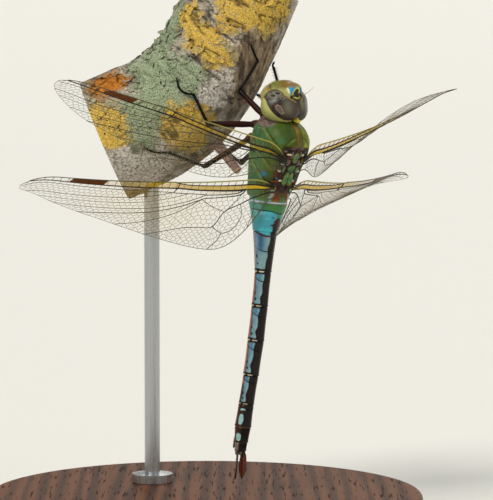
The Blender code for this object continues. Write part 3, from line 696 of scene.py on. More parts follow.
# name, vein it leaves, half width, then its course as (part of the wing's length, mm behind the front edge)
veins = {
    "hind": (
        ("subcosta", "costa", 0.1, ((0, 0.55), (0.05, 1), (0.2, 1.05), (0.33, 0.8), (0.385, 0.35), (0.4, 0))),
        ("radius", "costa", 0.15,
         ((0, 0.9), (0.05, 1.7), (0.15, 2), (0.3, 1.75), (0.4, 1.35), (0.6, 1.45), (0.8, 1.35),
          (0.9, 0.95), (0.965, 0))),
        ("sectorOne", "radius", 0.075,
         ((0.11, 1.95), (0.14, 2.7), (0.25, 2.95), (0.4, 2.6), (0.6, 2.75), (0.75, 2.75), (0.88, 2.3),
          (0.95, 1.75), (0.99, 1.4))),
        ("sectorTwo", "sectorOne", 0.06,
         ((0.4, 2.6), (0.48, 3.9), (0.6, 5.2), (0.75, 6), (0.88, 5.8), (0.94, 5.1))),
        ("between", "sectorTwo", 0.048,
         ((0.33, 2.75), (0.4, 4.2), (0.5, 5.9), (0.62, 7.2), (0.76, 8), (0.87, 7.9))),
        ("sectorThree", "between", 0.058,
         ((0.26, 2.95), (0.34, 4.9), (0.45, 7), (0.6, 8.8), (0.74, 9.9), (0.82, 9.6))),
        ("mediaFront", "radius", 0.085,
         ((0.1, 1.9), (0.12, 3.1), (0.2, 3.6), (0.271, 4), (0.34, 5.7), (0.45, 8.1), (0.6, 10.4),
          (0.69, 11.8))),
        ("mediaRear", "mediaFront", 0.065, ((0.271, 4), (0.3, 5.4), (0.36, 8), (0.45, 10.9), (0.54, 13.2))),
        ("analFront", "costa", 0.075,
         ((0, 1.6), (0.05, 3.2), (0.11, 4.9), (0.167, 6.6), (0.197, 9.9), (0.25, 10.3), (0.31, 10.9),
          (0.38, 12.6), (0.43, 14.1))),
    ),
    "fore": (
        ("subcosta", "costa", 0.13,
         ((0, 0.5), (0.05, 1.15), (0.12, 1.55), (0.25, 1.45), (0.42, 0.8), (0.5, 0.35), (0.515, 0))),
        ("radius", "costa", 0.17,
         ((0, 0.8), (0.05, 1.75), (0.12, 2.3), (0.25, 2.15), (0.4, 1.7), (0.5, 1.3), (0.65, 1.35),
          (0.8, 1.3), (0.9, 0.95), (0.965, 0))),
        ("sectorOne", "radius", 0.075,
         ((0.12, 1.75), (0.15, 2.5), (0.3, 2.8), (0.5, 2.5), (0.7, 2.7), (0.85, 2.4), (0.95, 1.8),
          (0.99, 1.4))),
        ("sectorTwo", "sectorOne", 0.06,
         ((0.49, 2.5), (0.57, 3.7), (0.68, 4.9), (0.8, 5.6), (0.9, 5.6), (0.955, 5.4))),
        ("between", "sectorTwo", 0.048,
         ((0.42, 2.65), (0.5, 3.9), (0.6, 5.4), (0.72, 6.8), (0.84, 7.6), (0.905, 7.9))),
        ("sectorThree", "between", 0.058, ((0.35, 2.75), (0.45, 4.7), (0.58, 6.8), (0.72, 8.6), (0.83, 9.9))),
        ("mediaFront", "radius", 0.1,
         ((0.11, 1.7), (0.135, 2.8), (0.2, 3.3), (0.27, 3.85), (0.36, 5.4), (0.5, 7.6), (0.65, 9.8),
          (0.74, 11.4))),
        ("mediaRear", "mediaFront", 0.065, ((0.27, 3.85), (0.33, 6), (0.42, 8.2), (0.52, 10.2), (0.6, 11.7))),
        ("analFront", "costa", 0.075,
         ((0, 1.3), (0.05, 2.6), (0.12, 4.3), (0.175, 5.7), (0.21, 7.3), (0.28, 8.7), (0.36, 10.3),
          (0.43, 11.7))),
    ),
}
# short strong veins inside the blade: the two free sides of the triangle, the loop and its spurs
spurs = {
    "hind": (((0.112, 2.9), (0.135, 4.6), (0.167, 6.6)), ((0.167, 6.6), (0.22, 5.6), (0.271, 4)),
             ((0.11, 5), (0.095, 7.6), (0.115, 10.2), (0.155, 11.2), (0.197, 9.9)),
             ((0.06, 3.5), (0.052, 6.4), (0.06, 9.7)), ((0.155, 11.2), (0.165, 13), (0.19, 14.9))),
    "fore": (((0.14, 2.8), (0.155, 4.2), (0.175, 5.7)), ((0.175, 5.7), (0.22, 5.1), (0.27, 3.85)),
             ((0.12, 4.3), (0.125, 6.2), (0.16, 9.3))),
}


def frontEdge(kind, u):
    # -notch (1 - u/0.09)^2 at the root, -tipDrop ((u - 0.84)/0.16)^2.4 at the tip
    root = blades[kind]["notch"] * np.maximum(0, 1 - u / 0.09) ** 2
    return -root - blades[kind]["tipDrop"] * np.maximum(0, (u - 0.84) / 0.16) ** 2.4


def chordAt(kind, u):
    # width along the blade: a root that opens, a taper and a round tip
    tip = (1 - np.clip((u - 0.62) / 0.38, 0, 1) ** 2.6) ** 0.62
    if kind == "fore":
        return blades[kind]["chord"] * (0.24 + 0.76 * (1 - (1 - np.minimum(u / 0.34, 1)) ** 2.2)) * tip
    root = 0.2 + 0.8 * (1 - (1 - np.minimum(u / 0.2, 1)) ** 2.4)
    return blades[kind]["chord"] * root * (1 - 0.42 * np.maximum(0, (u - 0.22) / 0.78) ** 1.3) * tip


def wingPlace(kind, side, u, w, lift):
    # hinge + along u length + ahead front + down the pitched blade by w chord + lift off its face
    sweep, droop, bend, bow, pitches = wingPoses[kind, side]
    sweep, droop = math.radians(sweep), math.radians(droop)
    hand = hands[side]
    blade = blades[kind]
    sideways = np.array((0, hand * math.cos(droop), -math.sin(droop)))
    above = np.array((0, hand * math.sin(droop), math.cos(droop)))
    ahead = np.array((1.0, 0, 0))
    along = ahead * math.sin(sweep) + sideways * math.cos(sweep)
    ahead = ahead * math.cos(sweep) - sideways * math.sin(sweep)
    u, w, lift = np.broadcast_arrays(u, w, lift)
    on = np.maximum(u, 0)
    pitch = np.radians(np.polyval(np.polyfit((0, 0.33, 0.66, 1), pitches, 3), on))[..., None]
    down = -ahead * np.cos(pitch) - above * np.sin(pitch)
    off = above * np.cos(pitch) - ahead * np.sin(pitch)
    front = (frontEdge(kind, on) + blade["notch"] + bow * 4 * on * (1 - on))[..., None]
    width = np.maximum(chordAt(kind, on), 0.5)
    local = (np.array(blade["hinge"]) * (1, hand, 1) + along * (u * blade["length"])[..., None]
             + ahead * front
             - above * (bend * on ** 2)[..., None] + down * (w * width)[..., None] + off * lift[..., None])
    return inFrame(thoraxPlace, local)


def veinCourses(kind):
    # rows of millimetres behind the front edge at even parts of the length, from the costa to the rear edge
    u = np.linspace(0, 1, 801)
    chord = np.maximum(chordAt(kind, u), 0.02)
    courses, spans = {"costa": 0 * u}, {"costa": (0.0, 0.99)}
    for name, parent, _, points in veins[kind]:
        curve = smoothCurve(points, np.linspace(0, 1, 300))
        start, end = points[0][0], points[-1][0]
        course = np.interp(u, np.maximum.accumulate(curve[:, 0]), curve[:, 1])
        course = np.where(u < start, courses[parent], course)
        course = np.where(u > end, 0 if points[-1][1] == 0 else chord, course)
        courses[name], spans[name] = np.minimum(course, chord), (start, end)
    rows = np.maximum.accumulate(np.stack(list(courses.values()) + [chord]), axis=0)
    return u, rows, list(spans.values()) + [(0.0, 0.995)]


def foldLift(net, u, y):
    # the blade's pleats: veins lie by turns above and below its middle, straight lines between them
    at, rows, _ = net
    levels = np.array([0.0, -0.9, 0.8, -0.5, 0.3, -0.4, 0.3, 0.6, -0.5, 0.6, 0.0]) * wing["fold"]
    bounds = np.stack([np.interp(u, at, row) for row in rows])
    lift = np.zeros(np.shape(u))
    for k in range(len(rows) - 1):
        width = np.maximum(bounds[k + 1] - bounds[k], 1e-6)
        share = np.clip((y - bounds[k]) / width, 0, 1)
        inside = (y >= bounds[k]) & (y <= bounds[k + 1])
        lift = np.where(inside, levels[k] + (levels[k + 1] - levels[k]) * share, lift)
    return lift * (1 - 0.7 * np.clip(u, 0, 1))


def onWing(kind, side, net, u, y, raised=0.0):
    # the place of a point that lies y millimetres behind the front edge, on the pleated blade
    w = y / np.maximum(chordAt(kind, np.clip(u, 0, 1)), 0.5)
    return wingPlace(kind, side, u, w, foldLift(net, u, y) + raised)


def cellSeeds(kind, net, random):
    # rows of seeds in each strip between two veins, in brick order, as many rows as the strip has room for
    at, rows, _ = net
    length, strips = blades[kind]["length"], len(rows) - 1
    seeds, regions = [], []
    for strip in range(strips):
        front = strip < 2 or strip == 3
        size = wing["cellSize"] * (1.45 if strip < 2 else 1.25 if strip == 2 else 1.0)
        if strip == strips - 1:
            size *= 0.92
        x = np.arange(0.7, length * 0.992, size)
        for row in range(16):
            here = x + (size / 2 if row % 2 else 0)
            low, high = (np.interp(here / length, at, rows[k]) for k in (strip, strip + 1))
            # cells shrink towards the rear edge
            depth = np.maximum(size * (1.0 - 0.035 * low), 0.55)
            count = np.maximum(np.round((high - low) / depth), 1)
            keep = (row < count) & (high - low > 0.12)
            y = low + (high - low) * (row + 0.5) / count
            shake = random.uniform(-1, 1, (len(x), 2)) * (0.06 if front else 0.13) * size
            points = stacked(here + shake[:, 0], np.clip(y + shake[:, 1], low + 0.05, high - 0.05))[keep]
            seeds.append(points)
            regions.append(np.full(len(points), strip))
    x = np.arange(0.2, length, 0.6)
    chord = chordAt(kind, x / length)
    seeds += [stacked(x, 0 * x - 0.6), stacked(x, chord + 0.4)]
    regions += [np.full(len(x), -1), np.full(len(x), strips)]
    return np.concatenate(seeds), np.concatenate(regions)


def cellEdges(kind, net, random):
    # the sides of the seeds' nearest-neighbour cells; ends that touch a vein are moved onto it
    at, rows, _ = net
    length = blades[kind]["length"]
    seeds, regions = cellSeeds(kind, net, random)
    points = [Vector(seed) for seed in seeds.tolist()]
    _, _, triangles, origin, _, _ = delaunay_2d_cdt(points, [], [], 0, 1e-6)
    order = np.array([source[0] for source in origin])
    triangles = order[np.array(triangles)]
    a, b, c = (seeds[triangles[:, k]] for k in range(3))
    twice = 2 * (a[:, 0] * (b[:, 1] - c[:, 1]) + b[:, 0] * (c[:, 1] - a[:, 1])
                 + c[:, 0] * (a[:, 1] - b[:, 1]))
    twice = np.where(np.abs(twice) < 1e-9, 1e-9, twice)
    squares = [np.sum(p ** 2, -1) for p in (a, b, c)]
    across, along = (squares[0] * (b[:, k] - c[:, k]) + squares[1] * (c[:, k] - a[:, k])
                     + squares[2] * (a[:, k] - b[:, k]) for k in (1, 0))
    x, y = across / twice, -along / twice
    home = regions[triangles]
    first, last = home.min(1), home.max(1)
    u = np.clip(x / length, 0.002, 0.998)
    bounds = np.stack([np.interp(u, at, row) for row in rows])
    pick = np.arange(len(u))
    low, high = (bounds[np.clip(edge, 0, len(rows) - 1), pick] for edge in (first, first + 1))
    y = np.where(first == last, np.clip(y, low, high), high)
    sides = np.concatenate([triangles[:, [0, 1]], triangles[:, [1, 2]], triangles[:, [2, 0]]])
    owner = np.tile(np.arange(len(triangles)), 3)
    key = np.sort(sides, 1) @ (len(seeds), 1)
    rank = np.argsort(key, kind="stable")
    pairs = np.nonzero(key[rank][1:] == key[rank][:-1])[0]
    one, two = owner[rank[pairs]], owner[rank[pairs + 1]]
    strip = regions[sides[rank[pairs]]]
    starts, ends = stacked(u[one], y[one]), stacked(u[two], y[two])
    span = np.hypot((starts[:, 0] - ends[:, 0]) * length, starts[:, 1] - ends[:, 1])
    strip, other = strip.T
    keep = (strip == other) & (strip >= 0) & (strip < len(rows) - 1) & (span > 0.02) & (span < 3.2)
    return starts[keep], ends[keep], strip[keep]


def membraneFinish():
    # clear film, golden and more solid by the amber mark: alpha = clearAlpha + amberAlpha * mark
    film = Finish("wingMembrane", roughness=0.22)
    haze = film.noise(3, 3, 0.5)
    colour = film.mix(film.mark("smoke"), tone(wing["clear"]), tone(wing["smoke"]))
    colour = film.mix(film.ease(film.mark("amber"), 0, 0.12), colour, tone(wing["amber"]))
    alpha = wing["clearAlpha"] + film.mark("amber") * wing["amberAlpha"]
    film.feed(baseColor=colour, alpha=alpha + film.mark("smoke") * 0.06 + haze * 0.015,
              roughness=film.ease(haze, 0.3, 0.7, 0.16, 0.3))
    return film.material


def veinFinish():
    # dark horn, lighter in the cells and pale along the front edge
    horn = Finish("wingVeins", roughness=0.42)
    fine = horn.noise(0.3, 3)
    colour = horn.mix(horn.mark("cell"), tone(wing["dark"]), tone(wing["cell"]))
    colour = horn.mix(horn.mark("orange"), colour, tone(wing["orange"]))
    colour = horn.mix(horn.mark("pale"), colour,
                      horn.mix(fine, tone(wing["costa"]), tone(wing["costaLight"])))
    horn.feed(baseColor=colour, roughness=horn.ease(fine, 0.3, 0.7, 0.34, 0.5))
    horn.relief(fine, 0.02)
    return horn.material


def buildMembrane(kind, side, net, finish):
    # the pleated blade's two faces, half the thickness above and below it, amber in the front strips
    u = np.linspace(-wing["rootInside"] / blades[kind]["length"], 0.998, wing["rows"])[:, None]
    w = np.linspace(0.004, 0.996, wing["columns"])[None]
    on = np.clip(u, 0, 1)
    u, w = np.broadcast_arrays(u, w)
    y = w * np.maximum(chordAt(kind, on), 0.5)
    lift = foldLift(net, np.clip(u, 0, 1), y)
    half = wing["thick"] / 2
    above, below = (wingPlace(kind, side, u, w, lift + off) for off in (half, -half))
    rings = np.concatenate([above, below[:, ::-1]], 1)
    bounds = [np.interp(u, net[0], row) for row in net[1]]
    nodus = blades[kind]["nodus"]
    strip = ease(-0.12, 0.12, y - bounds[1]) * ease(0.12, -0.12, y - bounds[2])
    far, least, gold, front = wing["gold"][kind, side]
    amber = strip * (least + (1 - least) * ease(nodus + far, nodus - 0.16, u)) * ease(0.9, 0.6, u)
    behind = ease(-0.1, 0.1, y - bounds[2]) * ease(0.15, -0.15, y - bounds[3]) * ease(0.34, 0.2, u)
    stain = bell(u, 0.45, 0.3) * bell(w, 0.45, 0.6)
    tint = front * ease(0.12, -0.12, y - bounds[1]) * ease(nodus + 0.05, nodus - 0.2, u)
    amber = np.maximum(np.maximum(amber * gold, tint), 0.3 * behind)
    amber = np.maximum(amber, (0.008 if kind == "fore" else 0.13) * stain)
    root = ease(0.05, 0.01, u) * ease(0.25, 0.5, w)
    marks = {name: np.concatenate([mark, mark[:, ::-1]], 1)
             for name, mark in (("amber", amber), ("smoke", root))}
    name = f"membrane{kind.title()}{side.title()}"
    addPiece(name, skinShape(rings, marks), finish, [f"wing_{kind}_{side}"])


def buildVeins(kind, side, net, finish):
    # a tube along each course, thicker at the root by exp(-(u / 0.13)^2), and a prism for each cell side
    at, rows, spans = net
    radii = [wing["front"]] + [vein[2] for vein in veins[kind]] + [wing["rear"]]
    shapes = []
    normal = wingPlace(kind, side, 0.3, 0.5, 1.0) - wingPlace(kind, side, 0.3, 0.5, 0.0)
    for k, (row, (start, end), radius) in enumerate(zip(rows, spans, radii)):
        first = -0.02 if start == 0 else start
        u = np.linspace(first, min(end, 0.985), wing["veinRows"])
        y = np.interp(u, at, row)
        taper = radius * (1.15 - 0.6 * (u - first) + (0.55 if k else -0.1) * np.exp(-(u / 0.13) ** 2))
        path = onWing(kind, side, net, u, y)
        pale = (k == 0) * (1 - 0.85 * ease(0.2, 0.6, u)) * ease(0, 0.035, u) + (k == len(rows) - 1) * 0.25
        lighter = (k > 2) * 0.6 * ease(0.1, 0.45, u)
        shapes.append(tubeShape(path, taper, wing["veinSides"], {"pale": pale, "cell": lighter},
                                reference=normal))
    for points in spurs[kind]:
        course = smoothCurve(points, np.linspace(0, 1, 24))
        shapes.append(tubeShape(onWing(kind, side, net, *course.T), wing["spur"], 6, {"cell": 0.3},
                                reference=normal))
    # the round tip, from the front edge to the rear one
    turn = np.linspace(0, 1, 60)
    tip = wingPlace(kind, side, 0.985 + 0.013 * np.sin(np.pi * turn), turn, 0.0)
    shapes.append(tubeShape(tip, wing["tip"], 6, {"pale": 0.2}, reference=normal))
    # the nodus, a strong knee across the front strips
    nodus = blades[kind]["nodus"]
    across = np.linspace(0, 1, 12)
    reach = float(np.interp(nodus + 0.008, at, rows[3]))
    knee = onWing(kind, side, net, nodus - 0.004 + 0.012 * across, across * reach)
    shapes.append(tubeShape(knee, wing["knee"], 6, reference=normal))
    random = np.random.default_rng(wing["seed"] + (kind == "hind") * 2)
    starts, ends, strip = cellEdges(kind, net, random)
    front = strip < 2
    basal = front & (starts[:, 0] < nodus + 0.02)
    size = np.where(front, wing["crossVein"], wing["cellVein"]) * (1.12 - 0.25 * starts[:, 0])
    marks = {"orange": basal * 0.8, "cell": np.where(front, 0, 0.85)}
    near, far = (onWing(kind, side, net, *course.T) for course in (starts, ends))
    shapes.append(strutShape(near, far, size, size, 4, marks))
    addPiece(f"veins{kind.title()}{side.title()}", joined(shapes), finish)
    return len(starts)


def buildStigma(kind, side, net, finish):
    # a thickened plate between the costa and the radius
    start, end = blades[kind]["stigma"]
    u = np.linspace(start, end, 40)[:, None]
    share = np.concatenate([np.linspace(0.06, 0.94, 8), np.linspace(0.94, 0.06, 8)])[None]
    skew = (share - 0.5) * 0.012
    reach = np.interp(u, net[0], net[1][2])
    y = reach * share
    above = np.where(np.arange(16) < 8, 1, -1)[None]
    face = above * 0.11 * np.sqrt(np.sin(np.pi * np.clip(share, 0.05, 0.95)))
    rings = onWing(kind, side, net, u + skew, y, face)
    addPiece(f"stigma{kind.title()}{side.title()}", skinShape(rings), finish)


def buildWings():
    # the two wings of a pair share one layout of veins
    film, horn = membraneFinish(), veinFinish()
    plate = mottled("wingSpot", 0.6, 4.0, wing["stigma"], 0.03, roughness=0.4, alpha=0.97)
    for kind in blades:
        net = veinCourses(kind)
        for side in hands:
            buildMembrane(kind, side, net, film)
            count = buildVeins(kind, side, net, horn)
            buildStigma(kind, side, net, plate)
            print(kind, side, "wing built with", count, "cell sides")


buildWings()

# colours laid on by formula


class Paint:
    # one tone over a whole grid; paint(name, mask) lays another one of the piece's dictionary on it
    def __init__(self, tones, shape, name):
        self.tones, self.colours = tones, np.zeros((*shape, 3))
        self(name, np.ones(shape))

    def __call__(self, name, mask):
        # colours (1 - mask) + tone mask
        mask = np.clip(mask, 0, 1)[..., None]
        self.colours = self.colours * (1 - mask) + np.array(tone(self.tones.get(name, name))[:3]) * mask


def paintMarks(colours):
    # the colour's three channels as marks
    return {name: colours[..., k] for k, name in enumerate(channels)}


def paintedFinish(name, gloss, speckle, bump, size=0.25, coat=0.12, shine=0.3):
    # the laid-on colour with a fine grain lighter and darker, and a pitted gloss
    horn = Finish(name, coatWeight=coat, coatRoughness=0.12, specularIorLevel=shine)
    own = horn.laidOn()
    fine = horn.noise(size, 5, 0.6)
    broad = horn.noise(size * 7, 3, 0.5)
    light = horn.mix(horn.ease(broad, 0.48, 0.7) * speckle, own,
                     horn.mix(1, own, (1.5, 1.5, 1.4, 1), "MULTIPLY"))
    dark = horn.mix(1, own, (0.4, 0.34, 0.3, 1), "MULTIPLY")
    horn.feed(baseColor=horn.mix(horn.ease(fine, 0.54, 0.32) * speckle * 1.5, light, dark),
              roughness=horn.ease(fine, 0.3, 0.7, gloss * 0.8, gloss * 1.25))
    horn.relief(fine, bump)
    return horn.material


# thorax and neck

thorax = {
    # place along a, half width, top, bottom, from the neck back
    "stations": ((12.3, 1.2, 0.9, -1.5), (11.4, 1.9, 1.3, -3), (10.1, 2.5, 1.4, -4.2), (9.2, 3.6, 3.15, -4.9),
                 (8.2, 4.35, 4.3, -5.3), (6.6, 5, 5.2, -5.6), (4.6, 5.1, 5.3, -5.7), (2.6, 4.95, 4.8, -5.6),
                 (0.6, 4.75, 4.1, -5.4), (-1.6, 4.5, 3.6, -5.1), (-3.4, 4.2, 3.1, -4.9),
                 (-4.9, 3.8, 3.7, -3.8)),
    "rows": 300, "columns": 240,
    "green": "435915", "deepGreen": "2c420e", "lime": "8f9738", "teal": "3b6a45", "oval": "3f7a4e",
    "white": "c6d0c4", "mint": "8fc3a4", "cream": "cfc9a0",
    "maroon": "33201a", "rust": "6a3617", "orange": "a8640f", "paleLine": "8f8a86", "seam": "1e130d",
    "mauve": "75605c", "blue": "3a7f9c", "under": "6d6a52",
    # where the seams of the flank meet the back and the belly, along a
    "seams": ((5, 12.2), (0.7, 6.8), (-2.9, 4.4)),
    # knobs of the back between the wings: a, l, length, width, height, colour
    "knobs": ((3.4, 0, 1.2, 0.66, 0.5, "oval"), (1.1, 0, 0.74, 0.95, 0.38, "oval"),
              (-1.05, 0.62, 1.4, 0.68, 0.48, "oval"),
              (4, 1.05, 0.8, 0.3, 0.25, "mauve"), (2.4, 1.35, 0.6, 0.35, 0.3, "mauve"),
              (-2.7, 1, 0.5, 0.5, 0.3, "maroon"),
              (4.5, 2.65, 0.2, 0.36, 0.22, "mauve"), (3.95, 1.8, 0.24, 0.5, 0.25, "cream"),
              (2.05, 2.44, 0.26, 0.42, 0.3, "mint"),
              (0.85, 1.75, 0.6, 0.28, 0.3, "oval"), (0.55, 2.5, 0.32, 0.42, 0.3, "white"),
              (-3.25, 2.45, 0.28, 0.55, 0.3, "mint"),
              (-1.7, 2.75, 0.32, 0.75, 0.25, "rust"), (-1.36, 1.75, 0.25, 0.36, 0.25, "cream"),
              (-1, 2.5, 0.2, 0.22, 0.15, "blue"),
              (3.1, 2.5, 0.4, 0.5, 0.3, "rust"), (4.65, 1.75, 0.3, 0.45, -0.2, "seam"),
              (-0.5, 2.2, 0.4, 0.3, 0.2, "maroon")),
}


def buildThorax():
    # rounded boxes along a: l = w c |c|^(2/p - 1), d = middle + h s |s|^(2/p - 1), then relief
    part = np.linspace(0, 1, thorax["rows"])
    a, half, top, bottom = (column[:, None] for column in smoothCurve(thorax["stations"], part).T)
    angle = circle(thorax["columns"]) + np.pi / 2
    power = 2 + 0.4 * ease(-5, -3.4, a) * ease(12, 9.6, a)
    c, s = np.cos(angle), np.sin(angle)
    middle, tall = (top + bottom) / 2, (top - bottom) / 2
    l = half * signed(c, 2 / power)
    d = middle + tall * signed(s, 2 / power)
    out = unit(stacked(0 * a, l / half ** 2, (d - middle) / tall ** 2))
    a = a + 0 * l
    side, high = np.abs(l), (d - middle) / tall
    back = ease(0.1, 0.6, high)
    between = back * ease(-4.2, -3.6, a) * ease(5.6, 5.2, a) * ease(3.6, 2.9, side)
    flank = ease(0.75, 0.5, high) * ease(-0.98, -0.8, high) * ease(10.2, 9.4, a)
    paint = Paint(thorax, l.shape, "green")
    # a darker green patch over the front of the back: painted shade
    paint("deepGreen", 0.8 * back * bell(a, 7.3, 1.7) * bell(side, 2.1, 1.5))
    sunlit = ease(-0.5, -1.6, l) * ease(4.8, 5.6, a) * ease(10, 9, a) * ease(0, 0.5, high)
    paint("lime", (0.75 + 0.25 * ease(7.8, 6.8, a)) * sunlit)
    paint("teal", ease(0.55, 0.1, high) * 0.75)
    paint("blue", 0.8 * flank * bell(a, -0.5, 0.6) * bell(high, 0.42, 0.17))
    lift = np.zeros_like(l)
    # middle ridge of the front back: two orange lines beside a pale one
    ridge = ease(5.6, 6.3, a) * ease(9.9, 9.3, a) * back
    width = 0.36 - 0.03 * (a - 6)
    lift += 0.16 * ridge * bell(l, 0, 0.3)
    paint("orange", 1.3 * ridge * bell(side, width, 0.13))
    paint("paleLine", 0.6 * ridge * bell(l, 0, 0.12) * (bell(a, 8.7, 0.5) + ease(6.9, 6, a)))
    paint("seam", 0.7 * ridge * bell(side, width * 0.5, 0.07))
    # the crest across, ahead of the wings, and the hollows at its ends
    crest = 5.55 - 0.35 * side
    line = bell(a, crest, 0.2) * ease(3.6, 2.8, side) * back
    paint("seam", 0.9 * bell(a, crest - 0.42, 0.2) * ease(3.4, 2.6, side) * back)
    crease = 7.4 - 0.11 * side ** 2.6
    foldEnds = ease(0.7, 1.1, side) * ease(3.3, 2.9, side) * back
    fold = bell(a, crease, 0.14) * foldEnds
    lift -= 0.12 * fold
    # the crease is painted darker green as painted shade, with a lime band ahead of it as painted highlight
    paint("deepGreen", 0.9 * fold)
    paint("lime", 0.3 * bell(a, crease - 0.4, 0.25) * foldEnds)
    lift += 0.3 * line * ease(2.6, 1.2, side)
    paint("orange", 0.5 * bell(a, crest + 0.45, 0.16) * back * ease(3.2, 2.4, side))
    # between the wings: a sunk maroon bed with knobs
    lift -= 0.42 * between
    places = stacked(a, l, d)
    blotch = roughness(places, 1.1, 3, 41)
    paint("maroon", between)
    paint("rust", between * ease(0.5, 0.66, blotch) * 0.75)
    paint("mauve", np.clip(line * 1.3, 0, 1) * ease(2.4, 1.5, side))
    uneven = 0.9 * (roughness(places, 0.9, 3, 43) - 0.5)
    for place, apart, long, wide, height, colour in thorax["knobs"]:
        away = np.hypot((a - place) / long, (side - apart) / wide)
        hump = ease(1.3, 0.6, away + uneven) * back
        lift += height * hump
        paint("seam", 0.75 * back * bell(away + uneven, 1.2, 0.22))
        paint(colour, ease(0.35, 0.75, hump) * 0.92)
        if colour == "oval":
            paint("lime", 0.5 * ease(0.35, 0.75, hump) * bell(away, 0.75, 0.25))
    hind = ease(-3.5, -3.9, a) * back
    paint("rust", hind * ease(2.1, 1.8, side))
    paint("green", hind * ease(0.7, 0.4, side))
    paint("white", 0.75 * hind * bell(side, 2.35 - 0.3 * (a + 4.5), 0.3))
    # slanting seams of the flank, from the wing roots forward and down to the legs
    for topEnd, lowEnd in thorax["seams"]:
        course = topEnd + (lowEnd - topEnd) * np.clip((0.75 - high) / 1.6, 0, 1) + 0.25 * np.sin(4 * high)
        groove = bell(a, course, 0.16) * flank
        lift -= 0.22 * groove
        paint("seam", 0.85 * groove)
        paint("lime", 0.35 * bell(a, course - 0.45, 0.3) * flank)
    breathing = np.hypot((a - 3.3) / 0.34, (high + 0.25) / 0.07)
    paint("seam", ease(1.2, 0.7, breathing))
    under = ease(-0.72, -0.9, high)
    paint("under", under * 0.8)
    # collar and neck: soft mauve folds
    reach = a + 0.08 * np.minimum(d, 0) - 0.5 * np.maximum(d, 0) + 0.6 * (blotch - 0.5)
    chest = ease(7.8, 8.35, reach) * ease(1.7, 0.9, d)
    paint("mauve", chest)
    paint("maroon", chest * ease(0.45, 0.62, blotch) * 0.6)
    patchOf = roughness(places, 1.7, 4, 47)
    paint("deepGreen", ease(0.52, 0.68, patchOf) * 0.45 * ease(0.95, 0.7, between))
    paint("seam", ease(0.44, 0.3, patchOf) * 0.22)
    # a teal patch on the front of the flank: painted highlight
    paint("teal", bell(np.hypot(a - 6.4, side - 3.7), 0, 0.55) * back)
    neck = ease(9.75, 10.15, a)
    folds = np.sin(a * 9.0 + 2.0 * roughness(places, 1.0, 2, 5))
    lift += neck * (0.08 * folds - 0.1)
    lift -= 0.35 * bell(a, 9.85, 0.16)
    paint("mauve", neck)
    paint("seam", neck * ease(0.4, 0.95, folds) * 0.5)
    lift += 0.05 * (roughness(places, 1.6, 3, 8) - 0.5)
    points = places + out * (lift * ease(-4.9, -4.2, a))[..., None]
    placed = inFrame(thoraxPlace, points)
    # the last rings turn into the abdomen's first plane
    rear = ease(-3, -4.75, a[..., 0])[:, None, None]
    firstPlane = ((12.25, -3.1, 65.3), 0.0, 6.0, 42.0)
    local = stacked(0 * a - 0.25 + 0.35 * (a + 4.9), l, d)
    placed = placed * (1 - rear) + inFrame(firstPlane, local) * rear
    finish = paintedFinish("thoraxHorn", 0.5, 0.35, 0.05, 0.25, 0.02, 0.2)
    addPiece("thoraxSkin", skinShape(placed, paintMarks(paint.colours)), finish,
             ["thorax", "neck"])


down = {"count": 1500, "seed": 9, "length": (0.35, 0.85), "radii": (0.022, 0.006),
        "tones": ("a79b78", "d8d0b4")}


def addDown(name, finish, placing, ends, radii, tones):
    # one thin three-sided prism from each root to its tip
    roots, tips = (inFrame(placing, points) for points in ends)
    addPiece(name, strutShape(roots, tips, *radii, 3), mottled(finish, 0.8, 2.0, tones, roughness=0.7))


def buildDown():
    # short pale down on the flanks, belly and collar, leaning back
    random = np.random.default_rng(down["seed"])
    part = random.uniform(0.06, 0.9, down["count"])
    angle = random.uniform(0, 2 * np.pi, down["count"])
    a, half, top, bottom = smoothCurve(thorax["stations"], part).T
    l, d = half * np.cos(angle), (top + bottom) / 2 + (top - bottom) / 2 * np.sin(angle)
    keep = ((np.sin(angle) < 0.25) | (a > 9.0)) & (a > -2.5)
    a, l, d, half = a[keep], l[keep], d[keep], half[keep]
    roots = stacked(a, l * 0.985, d * 0.985)
    out = unit(stacked(0 * a, l, d * 0.9)) + random.normal(size=roots.shape) * 0.25 + (-0.5, 0, 0)
    tips = roots + unit(out) * random.uniform(*down["length"], len(a))[:, None]
    addDown("thoraxDown", "paleDown", thoraxPlace, (roots, tips), down["radii"], down["tones"])


buildThorax()
buildDown()
print("thorax built")

# abdomen and tail

abdomen = {
    "place": (12.25, -3.1, 65.3), "turn": 42, "rowsPerMm": 14, "columns": 104, "waist": 0.05,
    # length, half width in front and behind, lean to the right
    "segments": ((1.5, 3.65, 3.75, 6), (5.3, 3.7, 2.4, 6), (7.9, 2.35, 1.62, 3), (6.55, 1.62, 1.6, 5.5),
                 (6.65, 1.6, 1.64, 6.5), (6.7, 1.62, 1.55, 8), (5.6, 1.5, 1.5, 9), (4.4, 1.5, 1.64, 8.5),
                 (3, 1.6, 1.35, 6.5), (1.65, 1.3, 1.15, 5)),
    # for each segment: roll of the pattern, place of the ridge across, half width of the back stripe in
    # front and behind
    "pattern": ((5, 0, 0, 0), (9, 0.24, 0, 21), (13, 0.47, 25, 43), (15, 0.25, 46, 57), (16, 0.26, 58, 63),
                (16, 0.25, 63, 67), (16, 0.22, 64, 72), (16, 0.16, 60, 62), (16, 0.1, 60, 62),
                (16, 0.1, 80, 80)),
    "stripe": "140b09", "stripeWarm": "3a1b0e", "ink": "0b0808", "cream": "bdb391", "rim": "a8602c",
    "belly": "3b2a22", "green": "427a42", "turquoise": "48b2bc", "seaGreen": "46988a", "violet": "5f7fa6",
    "blue": "3f7290", "greyBlue": "7a9a9e", "dusk": "574c62", "deepBlue": "24506b",
    # spot is the pale blue of the spots near the tail end, and also the painted highlight on the blue
    # segments
    "spot": "8fb5b5", "dark": "34180f", "lilac": "b9c0d6", "rust": "84420f", "membrane": "7a7468",
}


